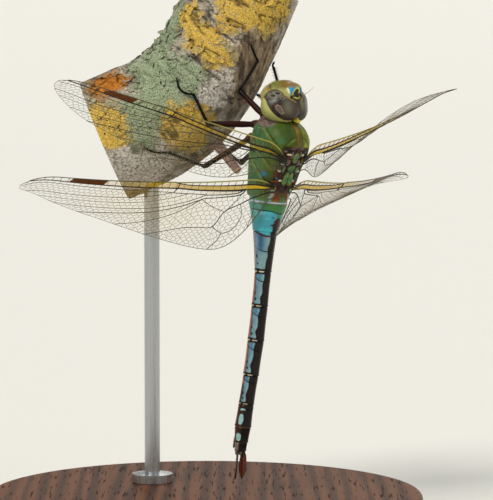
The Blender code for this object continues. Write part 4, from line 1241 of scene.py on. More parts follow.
def segmentFrames():
    # the joints' places and leans along the bent middle line
    joint, rims = np.array(abdomen["place"]), []
    leans = [segment[3] for segment in abdomen["segments"]]
    for k, (length, _, _, lean) in enumerate(abdomen["segments"]):
        rims.append((joint, 0.0, lean if k == 0 else (lean + leans[k - 1]) / 2, abdomen["turn"]))
        joint = joint - np.array((math.sin(math.radians(lean)), 0, math.cos(math.radians(lean)))) * length
    return rims + [(joint, 0.0, leans[-1], abdomen["turn"])]


def segmentColours(k, t, phi):
    # t runs 0 to 1 along the segment; phi is the angle from the middle of the back, in degrees
    _, ridge, front, rear = abdomen["pattern"][k]
    wide = np.abs(phi)
    noise = roughness(stacked(t * abdomen["segments"][k][0], wide / 40, 0 * t + k), 0.8, 3, 60 + k)
    shaky = 0.03 * (noise - 0.5)
    arc = ridge - 0.1 * ease(50, 130, wide)
    if k == 0:
        paint = Paint(abdomen, t.shape, "green")
        paint("rust", ease(8, 13, wide) * ease(40, 34, wide) * ease(0.62, 0.45, t))
        paint("lilac", 0.75 * ease(0.3, 0.55, 1 - np.abs(wide - 44) / 14 - 0.9 * t))
        paint("seaGreen", ease(88, 110, wide))
        paint("lilac", bell(t, 0.72, 0.09 + 0.05 * ease(60, 90, wide)) * 0.9)
        paint("rust", 0.7 * bell(t, 0.88, 0.06) * ease(60, 40, wide))
    elif k == 1:
        paint = Paint(abdomen, t.shape, "turquoise")
        paint("seaGreen", ease(85, 115, wide) * 0.6 + 0.5 * bell(t, 0.55, 0.2) * ease(40, 80, wide))
        arc = ridge + 0.09 * ease(45, 5, wide) - 0.02
        paint("green", ease(0.03, -0.03, t - arc) * ease(95, 50, wide))
        paint("seaGreen", ease(0.03, -0.03, t - arc) * ease(50, 95, wide))
        paint("green", 0.8 * ease(24, 8, wide) * ease(0.62, 0.4, t))
        paint("violet", 0.5 * bell(t, 0.42, 0.08) * bell(wide, 30, 16))
        # a pale blue-white patch on the side of the second segment: painted highlight
        paint("spot", 0.5 * bell(t, 0.36, 0.1) * bell(wide, 72, 16))
        paint("blue", 0.4 * ease(0.45, 0.75, noise + 0.4 * bell(t, 0.75, 0.15)) * ease(0.3, 0.4, t))
        stripe = ease(-3, 3, 3 + 17 * ease(0.42, 0.6, t) + 14 * bell(t, 0.74, 0.035) + 30 * shaky - wide)
        paint("deepBlue", 0.8 * bell(np.hypot((t - 0.47) / 0.05, (wide - 26) / 7), 0, 1))
        paint("stripeWarm", stripe * ease(0.4, 0.5, t))
        paint("stripe", stripe * ease(0.55, 1, t))
    elif k <= 6:
        paint = Paint(abdomen, t.shape, "greyBlue")
        paint("blue", 0.85 * bell(wide, 82, 26) * ease(arc + 0.05, arc - 0.06, t))
        paint("violet", (0.2 if k == 2 else 0.25) * ease(0.62, 0.3, t) * bell(wide, 78, 34))
        paint("blue", (0.1 if k == 2 else 0.35) * bell(wide, 95, 22))
        paint("deepBlue", (k == 2) * 0.85 * bell(wide, 74, 13) * ease(0.58, 0.3, t))
        paint("lilac", (k == 2) * 0.45 * bell(wide, 106, 12) * ease(0.7, 0.4, t))
        shade = bell(wide, 103 + 4 * np.sin(9 * t), 6) * ease(0.3, 0.42, t) * ease(0.85, 0.7, t)
        paint("violet" if k == 2 else "dusk", shade * 0.8)
        # a pale band beside the back stripe's edge: painted highlight
        paint("spot", (0.35 if k == 2 else 0.6) * bell(wide, front + (rear - front) * t + 5, 4))
        paint("blue", (0.45 if k == 2 else 0.25) * ease(0.4, 0.7, noise))
        paint("rim", ease(111, 116, wide) * (0.35 if k == 2 else 1))
        paint("ink", 1.1 * bell(wide, 108.5, 3.4) * (0.3 if k == 2 else 1))
        edge = front + (rear - front) * t + 5 * bell(t, 0.7, 0.1) + 3 * np.sin(t * 14 + k) + 150 * shaky
        stripe = ease(-3, 3, edge - wide)
        paint("stripe", stripe)
        paint("stripeWarm", 0.45 * stripe * bell(wide, edge * 0.55, 7) * ease(0.45, 0.6, noise))
        for at, turn, reach in ((0.6, 102, 0.03), (0.78, 95, 0.028)):
            blot = np.hypot((t - at) / (reach * 1.5), (wide - turn) / 7.5)
            paint("ink", ease(1.25, 0.75, blot + (0.5 - noise)))
        if k == 6:
            paint("dark", ease(6, 14, wide - 100) * ease(0.2, 0.4, t))
        if k == 2:
            # the joint ahead slants, with a thick brown line
            slant = 0.09 * ease(118, 40, wide)
            ahead = ease(slant, slant - 0.02, t) * ease(-3, 3, wide - edge)
            paint("turquoise", ahead)
            paint("blue", 0.3 * ahead)
            thick = 0.016 + 0.012 * bell(wide, 70, 30)
            paint("stripeWarm", 1.3 * bell(t, slant + 0.01, thick) * ease(125, 112, wide))
        # rounded corners and the black hind rim with its cream dashes
        corner = ((t - 0.5) / 0.455) ** 2
        corner = np.maximum(corner, 0.55) ** 3 + (np.maximum(wide - 62, 0) / 62) ** 6
        paint("ink", ease(1.05, 1.25, corner) * (0 if k == 2 else 1) * ease(128, 120, wide))
        paint("ink", ease(0.885, 0.908, t + shaky))
        dash = ease(46, 52, wide) * (ease(86, 82, wide) + ease(100, 104, wide))
        paint("cream", ease(0.945, 0.955, t) * ease(0.99, 0.98, t) * dash)
    else:
        paint = Paint(abdomen, t.shape, "dark")
        paint("stripe", ease(74, 62, wide))
        paint("rim", 0.5 * ease(124, 132, wide))
        if k < 9:
            middle = (0.64, 82, 0.23, 18) if k == 7 else (0.63, 86, 0.25, 22)
            oval = (np.abs(t - middle[0]) / middle[2]) ** 2.6 + (np.abs(wide - middle[1]) / middle[3]) ** 2.6
            paint("spot", ease(1.15, 0.8, oval + (noise - 0.5) * 0.5))
            paint("rim", 0.8 * ease(0.955, 0.975, t))
            paint("cream", 0.4 * ease(0.96, 0.98, t) * bell(wide, 60, 30))
        if k == 7:
            bar = ease(0.055, 0.03, np.abs(t - 0.2 - 0.0009 * (wide - 75)))
            paint("spot", bar * ease(56, 60, wide) * ease(98, 94, wide))
        if k == 9:
            paint("membrane", ease(78, 90, wide + 30 * (noise - 0.5)) * 0.9)
    if 0 < k < 8:
        line = bell(t, arc, 0.2 / abdomen["segments"][k][0] * 0.5) * ease(128, 112, wide)
        paint("ink", np.clip(line * 1.25, 0, 1) * (1 if k != 2 else ease(112, 80, wide)))
    paint("belly", ease(140, 152, wide) * 0.85)
    return paint.colours, arc


def buildAbdomen():
    # rings between the joint planes: radius = front + (back - front) t - waist sin(pi t) + relief
    rims = segmentFrames()
    angle = circle(abdomen["columns"]) + np.pi / 2
    allRings, allColours = [], []
    for k, (length, front, back, _) in enumerate(abdomen["segments"]):
        rows = max(int(length * abdomen["rowsPerMm"]), 24)
        t = (np.linspace(0, 1, rows) if k == 9 else np.arange(rows) / rows)[:, None] + 0 * angle
        roll = abdomen["pattern"][k][0]
        following = abdomen["pattern"][min(k + 1, 9)][0]
        before = abdomen["pattern"][max(k - 1, 0)][0]
        eased = np.where(t < 0.5, (roll + before) / 2 + (roll - before) * t,
                         roll + (following - roll) * (t - 0.5))
        phi = (np.degrees(angle) - 90 - eased + 180) % 360 - 180
        colours, arc = segmentColours(k, t, -phi)
        radius = front + (back - front) * t - abdomen["waist"] * np.sin(np.pi * t)
        wide = np.abs(phi)
        relief = -0.13 * (bell(t * length, 0, 0.09) + bell(t * length, length, 0.09)) * (0 < k)
        relief = relief + 0.05 * bell(t * length, length - 0.25, 0.12) * (0 < k)
        past = (t - arc) * length
        relief = relief + 0.045 * bell(past, 0, 0.07) * (0 < k < 8) - 0.03 * bell(past, 0.2, 0.09)
        relief = relief + 0.03 * bell(wide, 0, 3.5) - 0.05 * bell(wide, 127, 5) - 0.07 * ease(135, 160, wide)
        radius = radius + relief - 0.02
        local = stacked(0 * t, radius * np.cos(angle), radius * np.sin(angle))
        share = t[..., None]
        allRings.append(inFrame(rims[k], local) * (1 - share) + inFrame(rims[k + 1], local) * share)
        allColours.append(colours)
    rings, colours = np.concatenate(allRings), np.concatenate(allColours)
    finish = paintedFinish("abdomenHorn", 0.34, 0.35, 0.03, 0.18, 0.08, 0.16)
    nodes = [f"abdomen_{k}" for k in range(1, 11)]
    addPiece("abdomenSkin", skinShape(rings, paintMarks(colours)), finish, nodes)
    return rims[-1]


tail = {"hinge": (0.3, 0.75, 0.15), "length": 5.8, "width": 1.45, "thick": 0.42, "splay": 1, "tilt": 48,
        "light": "8a3d18", "deep": "3a140a", "base": "150a08", "vent": ("4a4038", "98917f"),
        # lobes round the vent: l, d, size; the egg layer: root, tip and its radii at parts of the way
        "lobes": ((0.45, -0.35, 0.5), (-0.45, -0.35, 0.5), (0, 0.1, 0.42)),
        "egg": ((3.6, 0, -1), (0.2, 0, -2)), "eggPlaces": (0, 0.1, 0.5, 0.92, 1),
        "eggRadii": (0.3, 0.46, 0.44, 0.2, 0.03), "sheath": ("1a0f0b", "4b2a18")}


def buildTail(last):
    # leaves: half width W/2 (0.42 + 0.58 sin(pi p / 1.15)^0.8), a raised rib down the middle of each face
    leaf = Finish("tailLeaf", coatWeight=0.3, coatRoughness=0.15)
    fine = leaf.noise(0.25, 5, 0.6)
    body = leaf.mix(leaf.mark("edge"), leaf.mix(fine, tone(tail["deep"]), tone(tail["light"])),
                    tone(tail["base"]))
    leaf.feed(baseColor=body, roughness=leaf.ease(fine, 0.3, 0.7, 0.3, 0.45))
    leaf.relief(fine, 0.05)
    for name, hand in hands.items():
        part = np.linspace(0, 1, 90)[:, None]
        angle = circle(32)
        half = tail["width"] / 2 * (0.42 + 0.58 * np.sin(np.pi * np.minimum(part / 1.15, 1)) ** 0.8)
        half = half * (1 - 0.88 * np.maximum(0, (part - 0.6) / 0.4) ** 1.9)
        half = half * (1 - 0.45 * ease(0.22, 0, part)) + 0.01
        c, s = np.cos(angle), np.sin(angle)
        rib = 0.6 + 0.4 * bell(c, 0, 0.22) - 0.25 * bell(np.abs(c), 0.45, 0.2)
        thick = tail["thick"] / 2 * rib * np.sqrt(np.clip((1.01 - part) / 0.08, 0, 1))
        local = stacked(-part * tail["length"], half * c, thick * signed(s, 0.8))
        splay, tilt = math.radians(-hand * tail["splay"]), math.radians(hand * tail["tilt"])
        aboutD = np.array(((math.cos(splay), -math.sin(splay), 0),
                           (math.sin(splay), math.cos(splay), 0), (0, 0, 1)))
        aboutA = np.array(((1, 0, 0), (0, math.cos(tilt), -math.sin(tilt)),
                           (0, math.sin(tilt), math.cos(tilt))))
        ahead, apart, above = tail["hinge"]
        placed = inFrame(last, local @ (aboutD @ aboutA).T + np.array((ahead, hand * apart, above)))
        edge = np.clip(ease(0.34, 0.05, part) + 0.8 * ease(0.86, 0.99, np.abs(c)) + 0.6 * bell(c, 0, 0.08)
                       + 0.5 * ease(0.88, 1, part) + 0.3 * bell(np.abs(c), 0.5, 0.06), 0, 1)
        edge = np.clip(edge + (0.5 if name == "left" else 0), 0, 1)
        shape = skinShape(placed, {"edge": edge})
        addPiece(f"tailLeaf{name.title()}", shape, leaf.material, [f"cercus_{name}"])
    # grey lobes round the vent, between the leaves
    lobes = []
    for l, d, size in tail["lobes"]:
        origin, axes = turned(last)
        centre = origin + axes @ np.array((-0.15, l, d))
        lobes.append(ballShape(centre, (0.75, size, size * 0.8), axes))
    skin = mottled("ventLobes", 0.3, 4.0, tail["vent"], 0.08, (0.4, 0.6), roughness=0.55)
    addPiece("ventLobes", joined(lobes), skin)
    root, tip = (inFrame(last, end) for end in tail["egg"])
    part = np.linspace(0, 1, 40)
    radii = np.interp(part, tail["eggPlaces"], tail["eggRadii"])
    sheath = mottled("eggLayer", 0.3, 4.0, tail["sheath"], 0.05, coatWeight=0.3, roughness=0.35)
    path = root + (tip - root) * part[:, None]
    addPiece("eggLayer", tubeShape(path, radii, 20, flat=0.8), sheath, ["ovipositor"])


buildTail(buildAbdomen())
print("abdomen and tail built")

# head

head = {
    "place": ((15, -4.9, 83.5), 8, -5, 48),
    # levels of the face from the mouth up: height along d, front, back, half width
    "levels": ((-4.85, 1, -0.3, 0.6), (-4.7, 1.6, -0.7, 1.1), (-4.2, 2.3, -1.5, 1.6), (-3.2, 3, -2.6, 1.95),
               (-2, 3.55, -3.3, 2.2), (-0.4, 3.84, -3.5, 2.36), (1.1, 3.86, -3.1, 2.4), (2.1, 3.6, -2.2, 2.3),
               (2.78, 3.15, -1.4, 2.12), (3.18, 2.75, -0.8, 1.92), (3.38, 2.4, -0.1, 1.45),
               (3.46, 1.8, 0.5, 0.55)),
    "rows": 260, "columns": 260, "power": 2.3,
    "olive": "6f6a1c", "green": "6f8a34", "rusty": "7c4f16", "lime": "aaa660", "blue": "2a8fb8",
    "deepBlue": "244f86", "black": "060505", "yellow": "c2c046", "white": "d9dccb", "orange": "9c5a1a",
    "mouth": "a99a55", "brown": "4a2c18",
    # the black round mark: place, half length, half width and turn of its length
    "spot": (1.62, 0.2, 0.8, 0.44, 122),
    "down": 420, "downLength": 0.5, "downSeed": 31, "downRadii": (0.016, 0.005),
    "downTones": ("7a6a3a", "b5a878"),
    # the knob between the eyes and the three simple eyes: middle, radii
    "knob": ((0.72, 0, 3.34), (0.46, 0.95, 0.44)),
    "beads": (((0.98, 0, 3.5), (0.15, 0.15, 0.12)), ((0.5, 0.86, 3.42), (0.15, 0.13, 0.13)),
              ((0.5, -0.86, 3.42), (0.15, 0.13, 0.13))),
    # the yellow wedge behind them: front end, way to its back end, width, tones
    "wedge": ((-3.15, 0.1, 3.2), (-0.85, 0.1, -0.25), 0.9, ("e2cd46", "c4a428")),
}

eyes = {
    "centre": (-0.9, 0, 0), "radii": (3.3, 5, 4.05), "front": 3.72, "seamDepth": 0.07, "seamWidth": 0.9,
    "rows": 220, "columns": 330, "facet": 0.055, "facetDepth": 0.35,
    # inner edge of the pale hind rim: a, d
    "rim": ((-4.4, 3.2), (-3.19, 2.6), (-2.93, 2.2), (-2.44, 1.79), (-1.85, 1.47), (-1.06, 0.99),
            (-0.16, 0.38), (0.75, -0.4), (1.05, -1.1), (1.3, -3.2)),
    "ground": "3b2f21", "lime": "b0ad66", "limeEdge": "8d9448", "grey": "5e5244", "net": "7f8876",
    "mark": "2c1912", "window": "5e5049", "windowRim": "93786b", "seam": "2a2016", "yellow": "a88440",
    # soft spots of colour, some of them painted sheen: colour, place, reach, strength; a negative place
    # across lies on the right eye
    "zones": (("46341f", (-0.5, 1.4, 3.8), (2, 0.75, 1.6), 1),
              # painted sheen: a broad olive sheen on the left eye
              ("5d5b47", (-0.75, 2.75, 3.35), (1.5, 0.8, 1.3), 1.1),
              ("1f120b", (0.6, 3.8, 2.05), (0.7, 0.6, 0.62), 1.3),
              # painted sheen: a grey sheen on the left eye, ahead of the window
              ("585a51", (0.62, 4.45, 0.75), (0.62, 0.6, 0.62), 1.2),
              ("1f130d", (-0.95, 4.6, 1.4), (0.95, 0.5, 0.5), 1.2),
              ("0d0b0a", (-1.85, 4.15, 1.95), (0.55, 0.5, 0.42), 1.4),
              ("31271a", (-2.55, 2.4, 2.9), (0.6, 1.5, 0.8), 1),
              # painted sheen on the right eye: pale olive, darker olive below it, blue-grey towards the rim
              ("696746", (-0.8, -0.85, 3.85), (1.3, 0.45, 1), 1.3),
              ("32311f", (-2.7, -1.2, 3.1), (1.1, 1.3, 1), 1.1),
              ("7b8377", (-0.9, -2.6, 3.5), (1.7, 0.9, 1.4), 1.1),
              ("3e3424", (0.55, -0.9, 3.55), (0.5, 0.6, 0.6), 1)),
    # dark marks of the front rim: a, l, d, half length along d, half width across it, strength
    "marks": ((1.98, 3.02, -0.36, 0.34, 0.2, 1), (1.93, 2.86, 1.22, 0.62, 0.28, 1),
              (1.6, 3.6, 0.66, 0.52, 0.26, 1), (1.36, 3.75, -0.95, 0.27, 0.45, 1),
              (1.12, 3, 2.4, 0.34, 0.2, 0.7)),
    # corners of the six-sided window
    "corners": ((0.05, 4.1, 2.08), (-0.22, 4.45, 1.7), (-0.81, 4.44, 1.86), (-1.79, 3.79, 2.41),
                (-1.53, 3.48, 2.8), (-0.41, 3.76, 2.62)),
    # a yellow hem along the face's edge
    "hem": ((1.61, 2.35, 2.3), (1.12, 2.06, 2.97), (0.59, 1.59, 3.47), (-0.01, 0.87, 3.76)),
    # for each eye, the swelling behind: share of the radius, its place and width in degrees round the eye
    "bulge": {"left": (0.13, 128, 34), "right": (0.27, 142, 28)},
}


def placedIn(shape, placing):
    # the shape carried from a body frame into the scene
    return inFrame(placing, shape[0]), *shape[1:]


def buildFace():
    # levels along d: a = middle + h c |c|^(2/p - 1), l = w s |s|^(2/p - 1), then relief
    levels = smoothCurve(head["levels"], np.linspace(0, 1, head["rows"]))
    d, front, back, half = (column[:, None] for column in levels.T)
    angle = circle(head["columns"])
    c, s = np.cos(angle), np.sin(angle)
    power = head["power"] + 1.6 * ease(2, 3, d)
    a = (front + back) / 2 + (front - back) / 2 * signed(c, 2 / power)
    l = half * signed(s, 2 / power)
    d = d + 0 * a
    side = np.abs(l)
    points = stacked(a, l, d)
    noise = roughness(points, 1.2, 4, 77)
    ahead = ease(0.2, 1.2, c)
    shelf = ease(2.55, 2.95, d)
    paint = Paint(head, a.shape, "lime")
    paint("olive", ease(2.4, 3.3, a + 0.25 * noise) * ease(-1.9, -1.4, d))
    paint("green", 0.7 * bell(d, -0.9, 0.5) * ease(2.5, 1.2, side) * ahead)
    paint("green", 0.5 * bell(d, 0.2, 0.45) * bell(side, 1.9, 0.4))
    paint("rusty", ease(0.2, 1.6, d) * ease(2.1, 1.5, side) * ease(2.5, 3, a) * (0.6 + 0.4 * noise))
    paint("lime", 0.3 * bell(d, 2, 0.35) * bell(side, 0.6, 0.5) * ahead)
    paint("brown", ease(0.55, 0.7, noise) * 0.35 * ahead)
    paint("white", ease(0.6, 0.75, roughness(points, 0.5, 3, 79)) * 0.2 * ahead)
    # groove between brow and cheek plate, and the one above the lip
    brow = bell(d, -0.25 + 0.14 * side ** 2, 0.13) * ahead
    lip = bell(d, -1.75 - 0.06 * side ** 2, 0.14) * ahead
    lift = -0.16 * brow - 0.2 * lip - 0.25 * bell(d, -3.25, 0.16) * ahead
    paint("brown", 0.45 * brow + 0.75 * lip)
    paint("orange", 0.9 * bell(d, -2.2, 0.42) * ease(1.2, 1.5, side) * bell(a, 2.5, 0.45))
    paint("black", 1.4 * bell(np.hypot((a - 3) / 1.4, d + 1.9), 0, 0.26) * ease(0.9, 1.2, side))
    slanting = bell(d, -1.55 - 0.9 * (a - 2.76), 0.16) * ease(1.35, 1.55, side) * ease(2.3, 2.5, a)
    paint("black", slanting + bell(d, -3.2, 0.14) * ahead)
    paint("mouth", ease(-3.3, -3.5, d))
    paint("brown", ease(0.5, 0.66, noise) * ease(-3.3, -3.5, d) * 0.7)
    # the round black mark on the brow's shelf, ringed with yellow, blue ahead and black behind
    place, across, long, wide, turn = head["spot"]
    along, apart = math.cos(math.radians(turn)), math.sin(math.radians(turn))
    forward, left = a - place, l - across
    ring = np.hypot((forward * along + left * apart) / long, (left * along - forward * apart) / wide)
    blue = shelf * ease(1.35, 1.6, a) * ease(1.75, 1.6, side) * ease(2.66, 2.56, a - 0.2 * l)
    paint("blue", blue)
    paint("deepBlue", blue * ease(-0.5, -1, l) * 0.8)
    paint("deepBlue", blue * ease(2, 1.5, a) * 0.7)
    paint("white", 0.9 * shelf * bell(side, 1.8, 0.16) * ease(1.6, 1.9, a) * ease(3, 2.85, a))
    paint("yellow", shelf * ease(1.72, 1.58, ring) * ease(0.9, 1.1, a))
    paint("black", shelf * ease(1.14, 0.98, ring))
    reach = 0.4 + 1.35 * ease(1.62, 1.25, a)
    stalk = shelf * ease(reach + 0.1, reach - 0.05, side) * ease(1.5, 1.35, a)
    paint("black", stalk)
    lift += 0.1 * shelf * bell(ring, 1, 0.9) - 0.22 * bell(a, 1.1, 0.14) * shelf
    out = unit(stacked(c / (front - back) * 5, s / half * 2.5, 0.25 * ease(2.2, 3.4, d) * 4 + 0 * a))
    points = points + out * (lift + 0.03 * (noise - 0.5))[..., None]
    shapes = [skinShape(points, paintMarks(paint.colours))]
    # the vertex knob with its yellow bow, and three simple eyes
    knob = ballShape(*head["knob"], np.eye(3), 40, 60)
    knobPoints = knob[0]
    bow = bell(knobPoints[:, 0] - 0.5 * knobPoints[:, 1] ** 2, 0.56, 0.15) * ease(3.3, 3.5, knobPoints[:, 2])
    paint = Paint(head, bow.shape, "black")
    paint("yellow", bow)
    shapes.append((knobPoints, knob[1], paintMarks(paint.colours)))
    face = joined([placedIn(shape, head["place"]) for shape in shapes])
    addPiece("headSkin", face, paintedFinish("faceHorn", 0.4, 0.3, 0.05, 0.2, 0.18),
             ["head", "mouth"])
    beads = [ballShape(*bead, np.eye(3), 12, 16) for bead in head["beads"]]
    amber = Finish("simpleEyeGlass", baseColor=tone("7a5a2c"), roughness=0.1, coatWeight=0.6)
    addPiece("simpleEyes", placedIn(joined(beads), head["place"]), amber.material)


def windowMask(points):
    # the largest share of the way from the middle to each side of the window, 1 on its rim
    corners = np.array(eyes["corners"])
    middle = corners.mean(0)
    facing = unit(middle / np.array(eyes["radii"]) ** 2)
    sides = unit(np.cross(np.roll(corners, -1, 0) - corners, facing))
    reach = np.sum((corners - middle) * sides, -1)
    return np.max((points - middle) @ (sides / reach[:, None]).T, -1)


def eyeColours(points):
    # by place: ground, soft zones with painted sheen among them, front marks, yellow hem, six-sided window
    # and pale hind rim
    a, l, d = points[..., 0], np.abs(points[..., 1]), points[..., 2]
    mirrored = stacked(a, l, d)
    noise = roughness(mirrored, 1.3, 4, 88)
    paint = Paint(eyes, a.shape, "ground")
    for code, place, reach, strength in eyes["zones"]:
        away = np.sum(((points - place) / reach) ** 2, -1)
        paint(code, strength * np.exp(-away))
    front = ease(1.05, 1.3, a + 0.3 * ease(1.8, 2.8, d) - 0.15 * (noise - 0.5)) * ease(-3, -1.8, d)
    paint("grey", front * 0.9)
    for place, side, above, long, wide, strength in eyes["marks"]:
        blot = np.hypot((d - above) / long, np.hypot(a - place, l - side) / wide) + 0.5 * (noise - 0.5)
        paint("net", 0.8 * strength * bell(blot, 1.5, 0.3))
        paint("mark", ease(1.2, 0.85, blot) * 0.95 * strength)
    hem = smoothCurve(eyes["hem"], np.linspace(0, 1, 24))
    away = np.min(np.linalg.norm(mirrored[..., None, :] - hem, axis=-1), -1)
    paint("yellow", 0.7 * bell(away, 0, 0.16))
    hexagon = windowMask(mirrored)
    facing = ease(1, 1.4, d)
    paint("windowRim", ease(1.1, 1, hexagon) * facing)
    paint("window", ease(0.92, 0.8, hexagon + 0.1 * (noise - 0.5)) * facing)
    rim = np.interp(a, *zip(*eyes["rim"]))
    below = rim - d
    paint("seam", 0.7 * bell(below, -0.1, 0.14))
    paint("lime", ease(-0.05, 0.1, below + 0.12 * (noise - 0.5)))
    paint("limeEdge", ease(0.8, 2.2, below) * 0.7)
    paint("seam", bell(l, 0, 0.16) * 0.85)
    return paint.colours, ease(0.1, -0.1, below)


def eyeFinish():
    # a glossy coat over tiny six-sided facets
    glass = Finish("eyeGlass", coatWeight=0.08, coatRoughness=0.1, roughness=0.35)
    own = glass.laidOn()
    facets = glass.cells(eyes["facet"], "DISTANCE_TO_EDGE", None, "Distance")
    fine = glass.noise(0.2, 4, 0.6)
    shade = glass.mix(glass.ease(fine, 0.55, 0.35) * 0.35, own, glass.mix(0.5, own, (0.01, 0.01, 0.01, 1)))
    glass.feed(baseColor=shade, roughness=glass.ease(fine, 0.3, 0.7, 0.25, 0.36)
               + (1 - glass.mark("lens")) * 0.15)
    glass.relief(glass.ease(facets, 0, 0.3) * glass.mark("lens"), 0.012, eyes["facetDepth"])
    return glass.material


def buildEyes():
    # half ellipsoids from the outer pole to the seam, pinched at the seam: 1 - depth exp(-(l / width)^2),
    # swollen behind by share * exp(-((turn - middle) / width)^2)
    finish = eyeFinish()
    ahead, side, up = eyes["radii"]
    for name, hand in hands.items():
        polar = np.linspace(0.02, np.pi / 2, eyes["rows"])[:, None]
        angle = circle(eyes["columns"])
        left = np.maximum(side * np.cos(polar), 0.012)
        pinch = 1 - eyes["seamDepth"] * np.exp(-(left / eyes["seamWidth"]) ** 2)
        reach = np.where(np.cos(angle) > 0, eyes["front"], ahead)
        local = stacked(reach * np.sin(polar) * pinch * np.cos(angle), hand * left,
                        up * np.sin(polar) * pinch * np.sin(angle)) + np.array(eyes["centre"])
        colours, lens = eyeColours(local)
        turn = np.degrees(angle)
        share, middle, width = eyes["bulge"][name]
        swelling = share * bell(turn, middle, width) * ease(4.6, 3, left)
        local[..., [0, 2]] += (local - eyes["centre"])[..., [0, 2]] * swelling[..., None]
        out = unit((local - eyes["centre"]) / np.array(eyes["radii"]) ** 2)
        shape = skinShape(local + out * (0.05 * (lens - 1))[..., None], paintMarks(colours) | {"lens": lens})
        addPiece(f"eye{name.title()}", placedIn(shape, head["place"]), finish, [f"eye_{name}"])


feeler = {"line": ((0.7, 1, 3.1), (0.95, 1.45, 3.75), (1.4, 2.1, 4.5), (2.25, 3, 5.3)), "rows": 60,
          "places": (0, 0.12, 0.16, 0.28, 0.31, 1), "radii": (0.24, 0.24, 0.15, 0.16, 0.07, 0.028),
          "dark": "0c0908", "pale": "a98f5e"}


def buildFeelers():
    # two stout joints and a bristle that thins to its tip
    part = np.linspace(0, 1, feeler["rows"])
    for name, hand in hands.items():
        path = smoothCurve(np.array(feeler["line"]) * (1, hand, 1), part)
        paint = Paint(feeler, part.shape, "dark")
        paint("pale", ease(0.27, 0.34, part))
        shape = tubeShape(path, np.interp(part, feeler["places"], feeler["radii"]), 12,
                          paintMarks(paint.colours))
        addPiece(f"feeler{name.title()}", placedIn(shape, head["place"]),
                 paintedFinish(f"feelerHorn{name.title()}", 0.4, 0.2, 0.02), [f"antenna_{name}"])


def buildNape():
    # the bright wedge behind the seam between the eyes
    start, way, width, tones = head["wedge"]
    part = np.linspace(0, 1, 40)
    path = np.array(start) + np.array(way) * part[:, None]
    radii = 0.12 + width * part * np.sqrt(np.clip((1.003 - part) / 0.14, 0, 1))
    yellow = mottled("napeWedge", 0.5, 3.0, tones, 0.05, (0.4, 0.7), roughness=0.35, coatWeight=0.3)
    addPiece("napeWedge", placedIn(tubeShape(path, radii, 32, flat=0.62), head["place"]), yellow)


def buildFaceDown():
    # bristles on the brow and the cheeks, straight out from the face
    random = np.random.default_rng(head["downSeed"])
    count = head["down"]
    levels = smoothCurve(head["levels"], random.uniform(0.05, 0.85, count))
    angle = random.uniform(-1.1, 1.1, count)
    c, s = np.cos(angle), np.sin(angle)
    power = 2 / head["power"]
    a = (levels[:, 1] + levels[:, 2]) / 2 + (levels[:, 1] - levels[:, 2]) / 2 * c ** power
    roots = stacked(a, levels[:, 3] * signed(s, power), levels[:, 0]) * 0.99
    out = unit(stacked(c, s, 0 * c) + random.normal(size=(count, 3)) * 0.3)
    tips = roots + out * (head["downLength"] * random.uniform(0.4, 1, count))[:, None]
    addDown("faceDown", "faceDown", head["place"], (roots, tips), head["downRadii"], head["downTones"])


buildFace()
buildEyes()
buildFeelers()
buildNape()
buildFaceDown()
print("head built")

# legs

legs = {
    # hips in the thorax's frame, for the left side
    "hips": {"fore": (9.4, 1, -4.4), "mid": (7.7, 1.8, -5.5), "hind": (5.1, 2.2, -5.9)},
    # knee; ankle x, z; toe x, z; the side of the branch that holds the foot
    "courses": {
        ("Fore", "left"): ((6.7, 2.4, 85.1), (9.8, 91.1), (8.7, 93.9), -1),
        ("Mid", "left"): ((0.6, -1.4, 78.9), (-2.2, 84.5), (-5.3, 86.9), -1),
        ("Hind", "left"): ((0, -1.4, 70.8), (-7.1, 73.6), (-11.4, 74.2), -1),
        ("Fore", "right"): ((14.6, 6.8, 84.5), (13.6, 89.2), (13, 90.4), 1),
        ("Mid", "right"): ((12.2, 8.8, 83), (9.6, 84.2), (8.8, 84.6), 1),
        ("Hind", "right"): ((6.9, 8.8, 70.9), (2.2, 74.5), (1.2, 75), 1),
    },
    "bows": {("Mid", "left"): 0.9, ("Hind", "left"): 0.5}, "thigh": 0.56, "shin": 0.3, "foot": 0.22,
    "ankleGap": 0.7, "toeGap": 0.36,
    "steps": 260, "sides": 18, "softening": 6, "spines": 15, "spine": 0.85,
    "maroon": "2a0e09", "black": "030303", "hipTone": "4a2f20",
    # thickness along the thigh and the shin: places, shares of the leg's own thickness
    "thighShape": ((-0.5, 0, 0.07, 0.12, 0.3, 0.85, 0.96, 1), (1.55, 1.6, 1.35, 0.95, 1.1, 0.88, 1, 0.8)),
    "shinShape": ((0, 0.05, 0.1, 0.9, 1), (1.4, 1.25, 0.95, 0.85, 1)),
}


def onBark(x, z, facing, gap):
    # the bark's point straight ahead of (x, z) from the front or the back, gap millimetres off it
    spot, normal, _, _ = barkTree.ray_cast(Vector((x, facing * 60.0, z)), Vector((0, -facing, 0)))
    if spot is None:
        spot, normal, _, _ = barkTree.find_nearest(Vector((x, facing * 12.0, z)))
    return np.array(spot + normal * gap)


